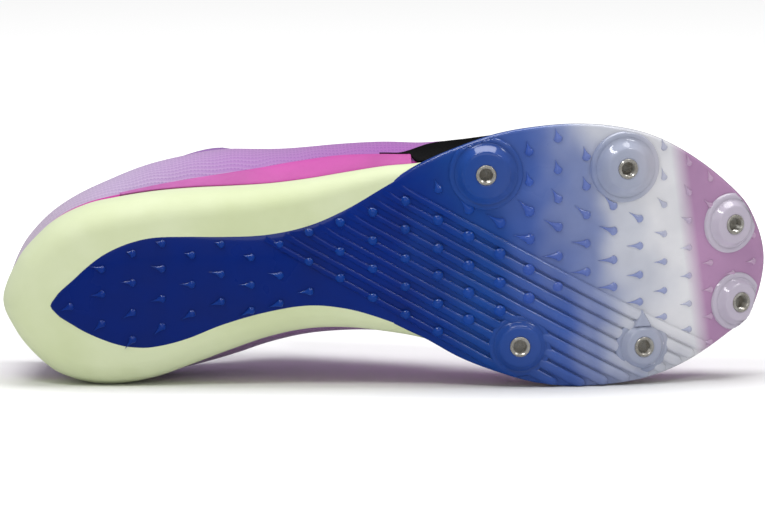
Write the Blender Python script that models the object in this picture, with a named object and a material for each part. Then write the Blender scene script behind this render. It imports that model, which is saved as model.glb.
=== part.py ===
"""A right track spike shoe lying on its medial side, sole towards -Y, toe towards +X.

The shoe is modelled upright in its own frame: x from heel to toe, y towards the
medial side, z up from the underside of the plate. It is then laid on the floor.
"""

import math
from functools import cache

import bmesh
import bpy
import numpy as np
from mathutils import Matrix, Vector

# Overall sizes of the shoe
shoe_length = 0.275
ball_width = 0.096
heel_width = 0.065
heel_height = 0.074
instep_height = 0.088
collar_width = 0.064
toe_spring = 0.032
toe_spring_start = 0.64
toe_spring_power = 2.3
heel_spring = 0.003
heel_spring_end = 0.16

# Sole
plate_thickness = 0.0020
foam_height = 0.024
foam_ledge = 0.0006
insole_thickness = 0.0030
insole_gap = 0.0012

# Bosses and the metal receptacles in them
receptacle_radius = 0.0036
receptacle_bore = 0.0026
receptacle_lead = 0.0003
receptacle_length = 0.0050
receptacle_floor = 0.0008
receptacle_stand = 0.0003

# Upper, tongue and lace
upper_wall = 0.0016
upper_inset = 0.0015
bow_height = 0.45
overlay_thickness = 0.0010
overlay_stand = 0.00042
overlay_foot = 0.004
tongue_wall = 0.0018
tongue_width = 0.042
tongue_rise = 0.018
tongue_sink = 0.0008
lace_radius = 0.0012
eyelet_margin = 0.0065
eyelet_pairs = 6

# Clearance that neighbouring pieces keep
clearance = 0.0003

# Fineness of the meshes
stations = 36
wall_rows = 9
round_sides = 20

medial = 1
lateral = -1


def table(columns, *rows):
    """Columns by name, each an array down the rows."""
    return dict(zip(columns.split(), np.array(rows, float).T))


# Outline of the plate from below: reaches from the long axis as shares of the width there
plate_outline = table(
    "at lateral medial",
    (0.0625, -0.149, 0.149),
    (0.095, 0.009, 0.263),
    (0.128, 0.132, 0.335),
    (0.160, 0.206, 0.382),
    (0.193, 0.246, 0.392),
    (0.240, 0.254, 0.346),
    (0.290, 0.248, 0.257),
    (0.345, 0.241, 0.178),
    (0.400, 0.262, 0.131),
    (0.450, 0.314, 0.135),
    (0.500, 0.385, 0.171),
    (0.550, 0.452, 0.225),
    (0.600, 0.506, 0.300),
    (0.650, 0.554, 0.356),
    (0.700, 0.578, 0.397),
    (0.750, 0.586, 0.413),
    (0.800, 0.572, 0.410),
    (0.850, 0.531, 0.390),
    (0.900, 0.448, 0.339),
    (0.950, 0.325, 0.255),
    (0.982, 0.208, 0.182),
    (1.000, 0.019, -0.019),
)

# Outline of the foam at its widest
foam_outline = table(
    "at lateral medial",
    (0.000, -0.154, 0.154),
    (0.018, 0.057, 0.335),
    (0.040, 0.180, 0.448),
    (0.070, 0.295, 0.549),
    (0.110, 0.378, 0.605),
    (0.150, 0.418, 0.615),
    (0.200, 0.452, 0.578),
    (0.250, 0.472, 0.502),
    (0.300, 0.472, 0.409),
    (0.350, 0.458, 0.315),
    (0.400, 0.448, 0.251),
    (0.450, 0.445, 0.223),
    (0.500, 0.444, 0.221),
    (0.550, 0.441, 0.235),
    (0.600, 0.469, 0.279),
    (0.650, 0.507, 0.320),
    (0.700, 0.533, 0.355),
    (0.750, 0.542, 0.373),
    (0.800, 0.531, 0.371),
    (0.850, 0.496, 0.350),
    (0.900, 0.417, 0.300),
    (0.950, 0.295, 0.220),
    (0.976, 0.188, 0.151),
    (0.991, 0.021, -0.021),
)

# Heights along the foam as shares of foam_height: its side, and the bed that the insole lies on
foam_heights = table(
    "at side bed",
    (0.00, 1.04, 0.80),
    (0.10, 1.00, 0.79),
    (0.20, 0.98, 0.77),
    (0.30, 0.90, 0.71),
    (0.40, 0.75, 0.58),
    (0.50, 0.52, 0.40),
    (0.58, 0.38, 0.29),
    (0.70, 0.35, 0.27),
    (1.00, 0.35, 0.27),
)

# Cross section of the foam's side: inset and height as shares of the side's height
foam_profile = table(
    "inset rise",
    (0.37, 0.00),
    (0.24, 0.04),
    (0.12, 0.14),
    (0.03, 0.32),
    (0.00, 0.55),
    (0.01, 0.82),
    (0.03, 1.00),
)

# Sections of the upper, by the share of the way along each side from heel to toe.
# The edge is the rim of collar and throat, and the ridge line in front of the throat.
# edge_x is a share of the length, edge_z of the height there, half of collar_width,
# and ridge, lateral and medial, which bow the walls out, of ball_width.
upper_sections = table(
    "at edge_x edge_z half ridge shoulder drop lateral medial",
    (0.000, 0.024, 1.000, 0.000, -0.104, 0.00, 0.35, 0.020, 0.020),
    (0.045, 0.031, 0.990, 0.180, -0.104, 0.00, 0.35, 0.030, 0.030),
    (0.100, 0.058, 0.945, 0.300, -0.110, 0.00, 0.35, 0.060, 0.060),
    (0.180, 0.135, 0.800, 0.445, -0.060, 0.00, 0.35, 0.120, 0.085),
    (0.250, 0.215, 0.750, 0.502, -0.001, 0.05, 0.35, 0.175, 0.145),
    (0.310, 0.290, 0.835, 0.464, 0.055, 0.25, 0.25, 0.200, 0.205),
    (0.350, 0.338, 0.955, 0.320, 0.054, 0.45, 0.12, 0.210, 0.235),
    (0.380, 0.368, 0.985, 0.220, 0.038, 0.55, 0.08, 0.220, 0.245),
    (0.440, 0.436, 0.905, 0.195, 0.050, 0.62, 0.05, 0.210, 0.220),
    (0.500, 0.509, 0.810, 0.180, 0.058, 0.65, 0.04, 0.180, 0.160),
    (0.560, 0.575, 0.720, 0.135, 0.060, 0.68, 0.03, 0.140, 0.100),
    (0.600, 0.612, 0.665, 0.000, 0.058, 0.70, 0.02, 0.115, 0.080),
    (0.650, 0.672, 0.592, 0.000, 0.052, 0.72, 0.01, 0.090, 0.073),
    (0.710, 0.738, 0.530, 0.000, 0.042, 0.74, 0.01, 0.073, 0.073),
    (0.780, 0.807, 0.478, 0.000, 0.031, 0.75, 0.01, 0.073, 0.073),
    (0.850, 0.870, 0.427, 0.000, 0.026, 0.75, 0.01, 0.062, 0.062),
    (0.930, 0.924, 0.366, 0.000, 0.021, 0.70, 0.01, 0.052, 0.052),
    (1.000, 0.950, 0.300, 0.000, 0.021, 0.60, 0.01, 0.042, 0.042),
)
throat_end = 0.600
throat_top = 0.362
lace_run = (0.385, 0.575)
tongue_front = 0.660

# Reach of the overlays along the lateral wall, and the share of it that they climb
wedge_run = (0.190, 0.525)
wedge_full = 0.420
wedge_start_climb = 0.016
wedge_climb = 0.095
rand_run = (0.528, 0.700)
rand_climb = 0.160
rand_fall = 0.70

# Rows that carry the tongue beyond the throat: share of the rise, width and angle in degrees
tongue_taper = 0.30
tongue_tip = table(
    "rise narrow angle",
    (0.333, 0.95, 30),
    (0.667, 0.91, 34),
    (1.000, 0.82, 38),
)

# Bosses: place on the plate as shares of length and ball width, then base, face and height
bosses = table(
    "at across base face height",
    (0.634, -0.405, 0.0120, 0.0084, 0.0040),
    (0.816, -0.417, 0.0116, 0.0072, 0.0040),
    (0.955, -0.170, 0.0096, 0.0068, 0.0035),
    (0.963, 0.130, 0.0092, 0.0066, 0.0035),
    (0.838, 0.268, 0.0088, 0.0064, 0.0030),
    (0.678, 0.251, 0.0100, 0.0074, 0.0030),
)


def smooth_step(low, high, value):
    share = np.clip((value - low) / (high - low), 0, 1)
    return share * share * (3 - 2 * share)


def through(knots, values, at):
    """A smooth curve through the rows of a table, read at any share."""
    slopes = np.gradient(values, knots)
    i = np.clip(np.searchsorted(knots, at) - 1, 0, len(knots) - 2)
    span = knots[i + 1] - knots[i]
    t = (at - knots[i]) / span
    start = (2 * t**3 - 3 * t**2 + 1) * values[i] + (t**3 - 2 * t**2 + t) * span * slopes[i]
    end = (3 * t**2 - 2 * t**3) * values[i + 1] + (t**3 - t**2) * span * slopes[i + 1]
    return start + end


def width_at(share):
    return heel_width + (ball_width - heel_width) * smooth_step(0.25, 0.60, share)


def height_at(share):
    return heel_height + (instep_height - heel_height) * smooth_step(0.10, 0.35, share)


def lift(x):
    """How far toe spring and heel spring raise the sole at x."""
    share = x / shoe_length
    toe = np.clip((share - toe_spring_start) / (1 - toe_spring_start), 0, None) ** toe_spring_power
    heel = np.clip((heel_spring_end - share) / heel_spring_end, 0, None) ** 2
    return toe_spring * toe + heel_spring * heel


def outline_loop(rows):
    """Points of an outline at even steps: heel tip, lateral side, toe tip, medial side."""
    widths = width_at(rows["at"])
    outer = np.column_stack([rows["at"] * shoe_length, -rows["lateral"] * widths])
    inner = np.column_stack([rows["at"] * shoe_length, rows["medial"] * widths])
    corners = np.vstack([outer, inner[-2:0:-1]])
    count = len(corners)
    wrapped = np.vstack([corners[-3:], corners, corners[:4]])
    steps = np.linalg.norm(np.diff(wrapped, axis=0), axis=1)
    knots = np.concatenate([[0], np.cumsum(steps)])
    toe = knots[3 + len(outer) - 1]
    halves = [(knots[3], toe), (toe, knots[3 + count])]
    loop = []
    for start, end in halves:
        fine = np.linspace(start, end, 1200)
        curve = np.column_stack([through(knots, wrapped[:, k], fine) for k in (0, 1)])
        run = np.concatenate([[0], np.cumsum(np.linalg.norm(np.diff(curve, axis=0), axis=1))])
        even = np.linspace(0, run[-1], stations + 1)[:-1]
        loop.append(np.column_stack([np.interp(even, run, curve[:, k]) for k in (0, 1)]))
    return np.vstack(loop)


def outward(loop):
    """Unit normals of a loop, pointing out of it."""
    along = np.roll(loop, -1, axis=0) - np.roll(loop, 1, axis=0)
    normal = np.column_stack([along[:, 1], -along[:, 0]])
    normal /= np.linalg.norm(normal, axis=1)[:, None]
    middle = loop.mean(axis=0)
    inside_out = np.sum(normal * (loop - middle)) < 0
    return -normal if inside_out else normal


def offset_loop(loop, distance):
    return loop + outward(loop) * np.reshape(distance, (-1, 1))


def ring(loop, heights):
    """A flat loop raised to its heights, following the springs of the sole."""
    return np.column_stack([loop, heights + lift(loop[:, 0])])


def material(name, colour, roughness, metallic=0.0):
    made = bpy.data.materials.new(name)
    made.use_nodes = True
    shader = made.node_tree.nodes["Principled BSDF"]
    shader.inputs["Base Color"].default_value = (*colour, 1)
    shader.inputs["Roughness"].default_value = roughness
    shader.inputs["Metallic"].default_value = metallic
    return made


def place(name, mesh_data, finish):
    """An object of the scene from a bmesh, with its faces turned out and shaded smooth."""
    bmesh.ops.recalc_face_normals(mesh_data, faces=mesh_data.faces)
    mesh = bpy.data.meshes.new(name)
    mesh_data.to_mesh(mesh)
    mesh_data.free()
    mesh.materials.append(finish)
    mesh.shade_smooth()
    mesh.set_sharp_from_angle(angle=math.radians(40))
    made = bpy.data.objects.new(name, mesh)
    bpy.context.scene.collection.objects.link(made)
    return made


def helper(made):
    """Marks an object as a cutter or a shape that is joined to another."""
    made.hide_render = True
    made.display_type = "WIRE"
    return made


def bridged(bm, rings):
    """Vertices of each ring, joined to the next ring by quads."""
    rows = [[bm.verts.new(point) for point in points] for points in rings]
    for lower, upper in zip(rows, rows[1:]):
        for i in range(len(lower)):
            j = (i + 1) % len(lower)
            bm.faces.new((lower[i], lower[j], upper[j], upper[i]))
    return rows


def lofted(name, rings, finish):
    """A solid from rings of the sole, its ends closed by strips from side to side."""
    bm = bmesh.new()
    rows = bridged(bm, rings)
    for row in (rows[0], rows[-1]):
        last = len(row)
        bm.faces.new((row[0], row[1], row[last - 1]))
        for i in range(1, stations - 1):
            bm.faces.new((row[i], row[i + 1], row[last - i - 1], row[last - i]))
        bm.faces.new((row[stations - 1], row[stations], row[stations + 1]))
    return place(name, bm, finish)


def turned(name, profile, sides, finish):
    """A solid turned about z from (radius, height) points, with flat ends."""
    bm = bmesh.new()
    angles = np.linspace(0, 2 * math.pi, sides, endpoint=False)
    circle = np.column_stack([np.cos(angles), np.sin(angles)])
    rings = [np.column_stack([circle * r, np.full(sides, z)]) for r, z in profile]
    rows = bridged(bm, rings)
    bm.faces.new(rows[0])
    bm.faces.new(rows[-1])
    return place(name, bm, finish)


def boolean(target, other, operation):
    cut = target.modifiers.new(f"{operation.lower()} {other.name}", "BOOLEAN")
    cut.operation = operation
    cut.solver = "EXACT"
    cut.object = other


def boss_frame(index):
    """Where a boss stands on the underside of the plate: +z of the frame runs into the shoe."""
    x = bosses["at"][index] * shoe_length
    y = bosses["across"][index] * ball_width
    step = 0.001
    slope = (lift(x + step) - lift(x - step)) / (2 * step)
    tilt = Matrix.Rotation(-math.atan(slope), 4, "Y")
    return Matrix.Translation((x, y, lift(x))) @ tilt


def boss(index, finish):
    base, face, height = (bosses[key][index] for key in ("base", "face", "height"))
    angles = np.linspace(0, math.pi / 2, 5)
    shoulder = [(face + (base - face) * math.cos(a), -height * math.sin(a)) for a in angles]
    profile = [(base, plate_thickness / 2), *shoulder]
    made = helper(turned(f"boss_{index + 1}", profile, round_sides, finish))
    made.matrix_local = boss_frame(index)
    return made


def socket_cutter(index, finish):
    """The blind hole that a receptacle sits in."""
    face = -bosses["height"][index]
    radius = receptacle_radius + clearance
    depth = receptacle_length - receptacle_stand + clearance
    profile = [(radius, face - 2 * clearance), (radius, face + depth)]
    made = helper(turned(f"socket_{index + 1}", profile, round_sides, finish))
    made.matrix_local = boss_frame(index)
    return made


def receptacle(index, finish):
    """A threaded metal cup, open downwards, standing a little proud of its boss."""
    face = -bosses["height"][index] - receptacle_stand
    top = face + receptacle_length
    profile = [
        (receptacle_radius, top),
        (receptacle_radius, face),
        (receptacle_bore + receptacle_lead, face),
        (receptacle_bore, face + receptacle_lead),
        (receptacle_bore, top - receptacle_floor),
    ]
    made = turned(f"receptacle_{index + 1}", profile, round_sides, finish)
    made.matrix_local = boss_frame(index)
    return made


def outsole_plate():
    finish = material("plate_polymer", (0.010, 0.040, 0.250), 0.25)
    loop = outline_loop(plate_outline)
    lower = ring(loop, np.zeros(len(loop)))
    upper = ring(loop, np.full(len(loop), plate_thickness))
    plate = lofted("outsole_plate", [lower, upper], finish)
    for index in range(len(bosses["at"])):
        boolean(plate, boss(index, finish), "UNION")
    for index in range(len(bosses["at"])):
        boolean(plate, socket_cutter(index, finish), "DIFFERENCE")
    return plate


def receptacles():
    finish = material("insert_steel", (0.62, 0.62, 0.64), 0.30, 1.0)
    return [receptacle(index, finish) for index in range(len(bosses["at"]))]


def side_height(x):
    return foam_height * through(foam_heights["at"], foam_heights["side"], x / shoe_length)


def bed_height(x):
    return foam_height * through(foam_heights["at"], foam_heights["bed"], x / shoe_length)


def foam_ring(loop, inset, heights):
    return ring(offset_loop(loop, -inset), heights)


def midsole():
    """Foam with a rounded side, a dished bed and a recess for the plate."""
    finish = material("midsole_foam", (0.60, 0.73, 0.36), 0.55)
    loop = outline_loop(foam_outline)
    side = side_height(loop[:, 0])
    bed = bed_height(loop[:, 0])
    rise = side - foam_ledge
    rings = []
    for inset, share in zip(foam_profile["inset"], foam_profile["rise"]):
        rings.append(foam_ring(loop, inset * side, foam_ledge + share * rise))
    rim = upper_inset + upper_wall + clearance
    rings.append(foam_ring(loop, rim, side))
    rings.append(foam_ring(loop, rim + (side - bed) / 2, bed))
    foam = lofted("midsole", rings, finish)
    recess = offset_loop(outline_loop(plate_outline), clearance)
    below = ring(recess, np.full(len(recess), -foam_height))
    above = ring(recess, np.full(len(recess), plate_thickness + clearance))
    boolean(foam, helper(lofted("plate_recess", [below, above], finish)), "DIFFERENCE")
    return foam


def insole():
    finish = material("insole_cloth", (0.30, 0.28, 0.34), 0.85)
    loop = outline_loop(foam_outline)
    side = side_height(loop[:, 0])
    bed = bed_height(loop[:, 0]) + clearance
    inset = upper_inset + upper_wall + 2 * clearance + (side - bed) / 2 + insole_gap
    bevel = insole_thickness / 3
    rings = [
        foam_ring(loop, inset, bed),
        foam_ring(loop, inset, bed + insole_thickness - bevel),
        foam_ring(loop, inset + bevel, bed + insole_thickness),
    ]
    return lofted("insole", rings, finish)


def section_value(name, share):
    return through(upper_sections["at"], upper_sections[name], share)


@cache
def feather_line():
    """Where the foot of the upper meets the foam, and the way out of the shoe there."""
    outline = outline_loop(foam_outline)
    normal = outward(outline)
    loop = outline - normal * upper_inset
    level = np.zeros((len(loop), 1))
    return ring(loop, side_height(loop[:, 0]) + clearance), np.hstack([normal, level])


def foot_of(share, side):
    """The feather line and the way out at any share of the way along one side."""
    steps = np.arange(2 * stations + 1)
    at = share * stations if side == lateral else (2 - share) * stations
    return [
        np.array([np.interp(at, steps, np.append(row[:, k], row[0, k])) for k in range(3)])
        for row in feather_line()
    ]


def rim_point(share, side):
    """A point of the collar's and throat's rim, or of the ridge in front of the throat."""
    x = section_value("edge_x", share) * shoe_length
    open_here = share < throat_end - 1e-6
    half = max(section_value("half", share), 0) * collar_width if open_here else 0
    y = side * half - section_value("ridge", share) * ball_width
    z = section_value("edge_z", share) * height_at(share) + lift(x)
    return np.array([x, y, z])


def wall_curve(share, side, climb):
    """Points up the wall of the upper, from the feather line (0) to the rim (1)."""
    foot, out = foot_of(share, side)
    rim = rim_point(share, side)
    rise = rim[2] - foot[2]
    bow = section_value("lateral" if side == lateral else "medial", share) * ball_width
    reach = (foot - rim) * [1, 1, 0]
    up = np.array([0, 0, rise])
    low = foot + up * bow_height + out * bow
    high = rim + reach * section_value("shoulder", share) - up * section_value("drop", share)
    t = np.reshape(climb, (-1, 1))
    return (
        (1 - t) ** 3 * foot
        + 3 * t * (1 - t) ** 2 * low
        + 3 * t**2 * (1 - t) * high
        + t**3 * rim
    )


def shell(name, rows, finish, wall):
    """A closed round of point rows thickened inwards. Points that coincide are made one."""
    bm = bmesh.new()
    grid = [[bm.verts.new(point) for point in row] for row in rows]
    for first, second in zip(grid, grid[1:] + grid[:1]):
        for k in range(len(first) - 1):
            bm.faces.new((first[k], first[k + 1], second[k + 1], second[k]))
    bmesh.ops.remove_doubles(bm, verts=bm.verts, dist=1e-6)
    made = place(name, bm, finish)
    thicken = made.modifiers.new("wall", "SOLIDIFY")
    thicken.thickness = wall
    thicken.offset = -1
    thicken.use_even_offset = True
    return made


def upper():
    """Walls all round the shoe: heel, lateral side, toe, medial side."""
    finish = material("upper_mesh", (0.45, 0.20, 0.60), 0.70)
    climb = np.linspace(0, 1, wall_rows + 1)
    round_trip = [(i / stations, lateral) for i in range(stations + 1)]
    round_trip += [(i / stations, medial) for i in range(stations - 1, 0, -1)]
    walls = [wall_curve(share, side, climb) for share, side in round_trip]
    return shell("upper", walls, finish, upper_wall)


def slab(name, inner, outer, finish):
    """A solid between two grids of points of the same size."""
    bm = bmesh.new()
    layers = [[[bm.verts.new(point) for point in row] for row in grid] for grid in (inner, outer)]
    last_row = len(inner) - 1
    last = len(inner[0]) - 1
    for grid in layers:
        for first, second in zip(grid, grid[1:]):
            for k in range(last):
                bm.faces.new((first[k], first[k + 1], second[k + 1], second[k]))
    low, high = layers
    for k in range(last):
        for row in (0, last_row):
            bm.faces.new((low[row][k], low[row][k + 1], high[row][k + 1], high[row][k]))
    for i in range(last_row):
        for k in (0, last):
            bm.faces.new((low[i][k], low[i + 1][k], high[i + 1][k], high[i][k]))
    return place(name, bm, finish)


def overlay(name, run, climbs, steps, finish):
    """A strip that lies on the foot of the lateral wall, level with the foam's side."""
    inner, outer = [], []
    for share, climb in zip(np.linspace(*run, steps), climbs):
        wall = wall_curve(share, lateral, np.linspace(overlay_foot, climb, 4))
        out = foot_of(share, lateral)[1]
        inner.append(wall + out * overlay_stand)
        outer.append(inner[-1] + out * overlay_thickness)
    return slab(name, inner, outer, finish)


def side_wedge():
    finish = material("wedge_foam", (0.72, 0.10, 0.50), 0.5)
    steps = 16
    shares = np.linspace(*wedge_run, steps)
    grown = smooth_step(wedge_run[0], wedge_full, shares)
    climbs = wedge_start_climb + (wedge_climb - wedge_start_climb) * grown
    return overlay("side_wedge", wedge_run, climbs, steps, finish)


def forefoot_rand():
    finish = material("rand_film", (0.012, 0.011, 0.012), 0.4)
    steps = 10
    shares = np.linspace(*rand_run, steps)
    climbs = rand_climb * (1 - rand_fall * smooth_step(*rand_run, shares))
    return overlay("forefoot_rand", rand_run, climbs, steps, finish)


def across(share, reach):
    """Points over the instep at signed arc distances from its middle, medial side positive."""
    climb = np.linspace(0.45, 1, 40)
    sides = [wall_curve(share, side, climb) for side in (lateral, medial)]
    rims = [side[-1] for side in sides]
    gap = np.linalg.norm(rims[1] - rims[0])
    leads = [side[-1] - side[-3] for side in sides]
    handles = [rim + lead / np.linalg.norm(lead) * gap / 3 for rim, lead in zip(rims, leads)]
    t = np.linspace(0, 1, 22)[1:-1, None]
    bridge = (
        (1 - t) ** 3 * rims[0]
        + 3 * t * (1 - t) ** 2 * handles[0]
        + 3 * t**2 * (1 - t) * handles[1]
        + t**3 * rims[1]
    )
    path = np.vstack([sides[0], bridge, sides[1][::-1]])
    run = np.concatenate([[0], np.cumsum(np.linalg.norm(np.diff(path, axis=0), axis=1))])
    middle = (run[len(climb) - 1] + run[-len(climb)]) / 2
    half_gap = middle - run[len(climb) - 1]
    points = [np.interp(middle + np.asarray(reach), run, path[:, k]) for k in range(3)]
    return np.column_stack(points), half_gap


def grid_normals(grid):
    """Normals of a grid of points, on its upper side."""
    normal = np.cross(np.gradient(grid, axis=0), np.gradient(grid, axis=1))
    normal /= np.linalg.norm(normal, axis=2)[..., None]
    return normal * np.sign(normal[..., 2].mean())


def tongue():
    """A tongue under the throat, from below the vamp to above the collar."""
    finish = material("tongue_cloth", (0.42, 0.22, 0.58), 0.8)
    columns = np.linspace(-0.5, 0.5, 11)
    shares = np.linspace(throat_top, tongue_front, 13)
    widths = tongue_width * (1 - tongue_taper * smooth_step(throat_top, tongue_front, shares))
    rows = [across(share, columns * width)[0] for share, width in zip(shares, widths)]
    top = rows[0]
    middle = top[len(columns) // 2]
    for rise, narrow, angle in zip(*(tongue_tip[key] for key in ("rise", "narrow", "angle"))):
        lean = math.radians(angle)
        shift = np.array([-math.cos(lean), 0, math.sin(lean)]) * rise * tongue_rise
        rows.insert(0, middle + (top - middle) * [1, narrow, 1] + shift)
    grid = np.array(rows)
    normal = grid_normals(grid)
    outer = grid - normal * (upper_wall + tongue_sink)
    inner = outer - normal * tongue_wall
    return slab("tongue", inner, outer, finish)


def tube(name, points, normals, radius, sides, finish):
    """A round cord along points, its ends closed."""
    along = np.gradient(points, axis=0)
    along /= np.linalg.norm(along, axis=1)[:, None]
    beside = np.cross(along, normals)
    beside /= np.linalg.norm(beside, axis=1)[:, None]
    above = np.cross(beside, along)
    bm = bmesh.new()
    rings = []
    for i, point in enumerate(points):
        angles = np.arange(sides) * 2 * math.pi / sides
        circle = np.outer(np.cos(angles), beside[i]) + np.outer(np.sin(angles), above[i])
        rings.append(point + circle * radius)
    rows = bridged(bm, rings)
    bm.faces.new(rows[0])
    bm.faces.new(rows[-1])
    return place(name, bm, finish)


def lace_point(share, across_share):
    """A place over the throat: -1 and 1 are the eyelets of the two sides."""
    half_gap = across(share, [0])[1]
    return across(share, [across_share * (half_gap + eyelet_margin)])[0][0]


def lace_bar(name, start, end, finish):
    """One crossing, from (share, side) to (share, side), just clear of the upper."""
    steps = 7
    step = 0.004
    shares = np.linspace(start[0], end[0], steps)
    sides = np.linspace(start[1], end[1], steps)
    points = np.array([lace_point(*at) for at in zip(shares, sides)])
    ahead = np.array([lace_point(share + step, side) for share, side in zip(shares, sides)])
    beside = np.array([lace_point(share, side + step) for share, side in zip(shares, sides)])
    normals = np.cross(ahead - points, beside - points)
    normals /= np.linalg.norm(normals, axis=1)[:, None]
    normals *= np.sign(normals[:, 2:])
    stand = lace_radius + 2 * clearance
    return tube(name, points + normals * stand, normals, lace_radius, 6, finish)


def lace():
    """The crossings over the throat, joined where they cross and where they meet."""
    finish = material("lace_cord", (0.75, 0.72, 0.80), 0.8)
    rows = np.linspace(*lace_run, eyelet_pairs)
    joined = lace_bar("lace", (rows[-1], lateral), (rows[-1], medial), finish)
    for i in range(eyelet_pairs - 1):
        for side in (lateral, medial):
            name = f"lace_bar_{i + 1}_{'lateral' if side == lateral else 'medial'}"
            bar = lace_bar(name, (rows[i], side), (rows[i + 1], -side), finish)
            boolean(joined, helper(bar), "UNION")
    return joined


def evaluated_points(made, graph):
    """Points and triangles of an object as its modifiers leave it."""
    evaluated = made.evaluated_get(graph)
    mesh = evaluated.to_mesh()
    mesh.calc_loop_triangles()
    points = np.array([made.matrix_local @ vertex.co for vertex in mesh.vertices])
    faces = np.array([triangle.vertices for triangle in mesh.loop_triangles])
    evaluated.to_mesh_clear()
    return points, faces


def balance(pieces):
    """All points of the pieces, and the centre of their volume."""
    graph = bpy.context.evaluated_depsgraph_get()
    cloud, volume, moment = [], 0.0, np.zeros(3)
    for piece in pieces:
        points, faces = evaluated_points(piece, graph)
        cloud.append(points)
        corners = points[faces]
        wedges = np.linalg.det(corners) / 6
        volume += wedges.sum()
        moment += (wedges[:, None] * corners.sum(axis=1) / 4).sum(axis=0)
    return np.vstack(cloud), moment / volume


def resting_face(cloud, centre):
    """The way down when the shoe lies on its medial side, across its lowest hull face."""
    hull = bmesh.new()
    for point in cloud:
        hull.verts.new(point)
    bmesh.ops.convex_hull(hull, input=hull.verts)
    centre = Vector(centre)
    best = None
    for face in hull.faces:
        height = (face.verts[0].co - centre).dot(face.normal)
        if face.normal.y > 0.9 and (best is None or height < best[0]):
            best = (height, face.normal.copy())
    hull.free()
    return best[1]


def lay_down(pieces):
    """Lays the shoe on its medial side with the middle of its box over the origin."""
    cloud, centre = balance(pieces)
    down = resting_face(cloud, centre)
    heel_to_toe = (Vector((1, 0, 0)) - down * down.x).normalized()
    away = (-down).cross(heel_to_toe)
    turn = Matrix((heel_to_toe, away, -down))
    laid = cloud @ np.array(turn).T
    low, high = laid.min(axis=0), laid.max(axis=0)
    shift = Vector((-(low[0] + high[0]) / 2, -(low[1] + high[1]) / 2, -low[2]))
    frame = bpy.data.objects.new("shoe_frame", None)
    bpy.context.scene.collection.objects.link(frame)
    frame.matrix_world = Matrix.Translation(shift) @ turn.to_4x4()
    for made in bpy.context.scene.objects:
        if made is not frame:
            made.parent = frame


def clear_scene():
    for existing in list(bpy.data.objects):
        bpy.data.objects.remove(existing, do_unlink=True)


def main():
    clear_scene()
    pieces = [outsole_plate(), *receptacles(), midsole(), insole(), upper()]
    pieces += [side_wedge(), forefoot_rand(), tongue(), lace()]
    lay_down(pieces)


main()
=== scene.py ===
# Track spike shoe, the right one, lying on its side with the sole towards the camera
import math
from functools import cache

import bmesh
import bpy
from mathutils import Matrix, Vector


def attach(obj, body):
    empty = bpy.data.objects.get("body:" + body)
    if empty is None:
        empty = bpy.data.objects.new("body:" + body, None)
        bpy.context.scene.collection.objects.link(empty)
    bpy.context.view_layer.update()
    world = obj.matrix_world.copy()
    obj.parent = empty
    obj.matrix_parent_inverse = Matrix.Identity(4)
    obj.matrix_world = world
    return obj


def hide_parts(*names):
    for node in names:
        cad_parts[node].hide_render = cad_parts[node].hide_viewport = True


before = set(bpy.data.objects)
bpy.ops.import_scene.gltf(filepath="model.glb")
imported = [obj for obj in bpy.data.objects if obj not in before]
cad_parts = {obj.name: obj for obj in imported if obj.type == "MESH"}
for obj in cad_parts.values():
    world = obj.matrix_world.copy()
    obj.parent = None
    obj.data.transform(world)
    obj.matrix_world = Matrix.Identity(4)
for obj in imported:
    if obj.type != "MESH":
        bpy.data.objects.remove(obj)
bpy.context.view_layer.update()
mm = 0.001

# The shoe's own frame has x from heel to toe, y towards the medial side and z into the shoe
# from the underside of the plate. This lays it on the floor, as the CAD model lies.
shoeToRow = Matrix((
    (1.0, 0.00167, -0.00009, -0.1375),
    (0.0, 0.05572, 0.99845, -0.04765),
    (0.00167, -0.99844, 0.05572, 0.03915),
    (0.0, 0.0, 0.0, 1.0),
))
rowToShoe = shoeToRow.inverted()

shoe = {
    "length": 0.275,
    "ballWidth": 0.096,
    "heelWidth": 0.065,
    "toeSpring": 0.032,
    "heelSpring": 0.003,
}


# Small helpers for shapes
def smoothStep(low, high, value):
    share = min(max((value - low) / (high - low), 0), 1)
    return share * share * (3 - 2 * share)


def mix(a, b, share):
    return a + (b - a) * share


def widthAt(share):
    return mix(shoe["heelWidth"], shoe["ballWidth"], smoothStep(0.25, 0.60, share))


def lift(x):
    share = x / shoe["length"]
    toe = max((share - 0.64) / 0.36, 0) ** 2.3
    heel = max((0.16 - share) / 0.16, 0) ** 2
    return shoe["toeSpring"] * toe + shoe["heelSpring"] * heel


def slopeAt(x):
    return (lift(x + mm) - lift(x - mm)) / (2 * mm)


# Cubic curve through rows of numbers, read at any place between the knots
def through(knots, values, at):
    last = len(knots) - 1
    i = max(0, min(last - 1, next((k for k in range(last) if at <= knots[k + 1]), last - 1)))

    def slope(k):
        low, high = max(k - 1, 0), min(k + 1, last)
        return (values[high] - values[low]) / (knots[high] - knots[low])

    span = knots[i + 1] - knots[i]
    t = (at - knots[i]) / span
    start = (2 * t**3 - 3 * t**2 + 1) * values[i] + (t**3 - 2 * t**2 + t) * span * slope(i)
    end = (3 * t**2 - 2 * t**3) * values[i + 1] + (t**3 - t**2) * span * slope(i + 1)
    return start + end


# The length of a path up to each of its points
def runOf(path):
    run = [0.0]
    for a, b in zip(path, path[1:]):
        run.append(run[-1] + (b - a).length)
    return run


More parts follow.
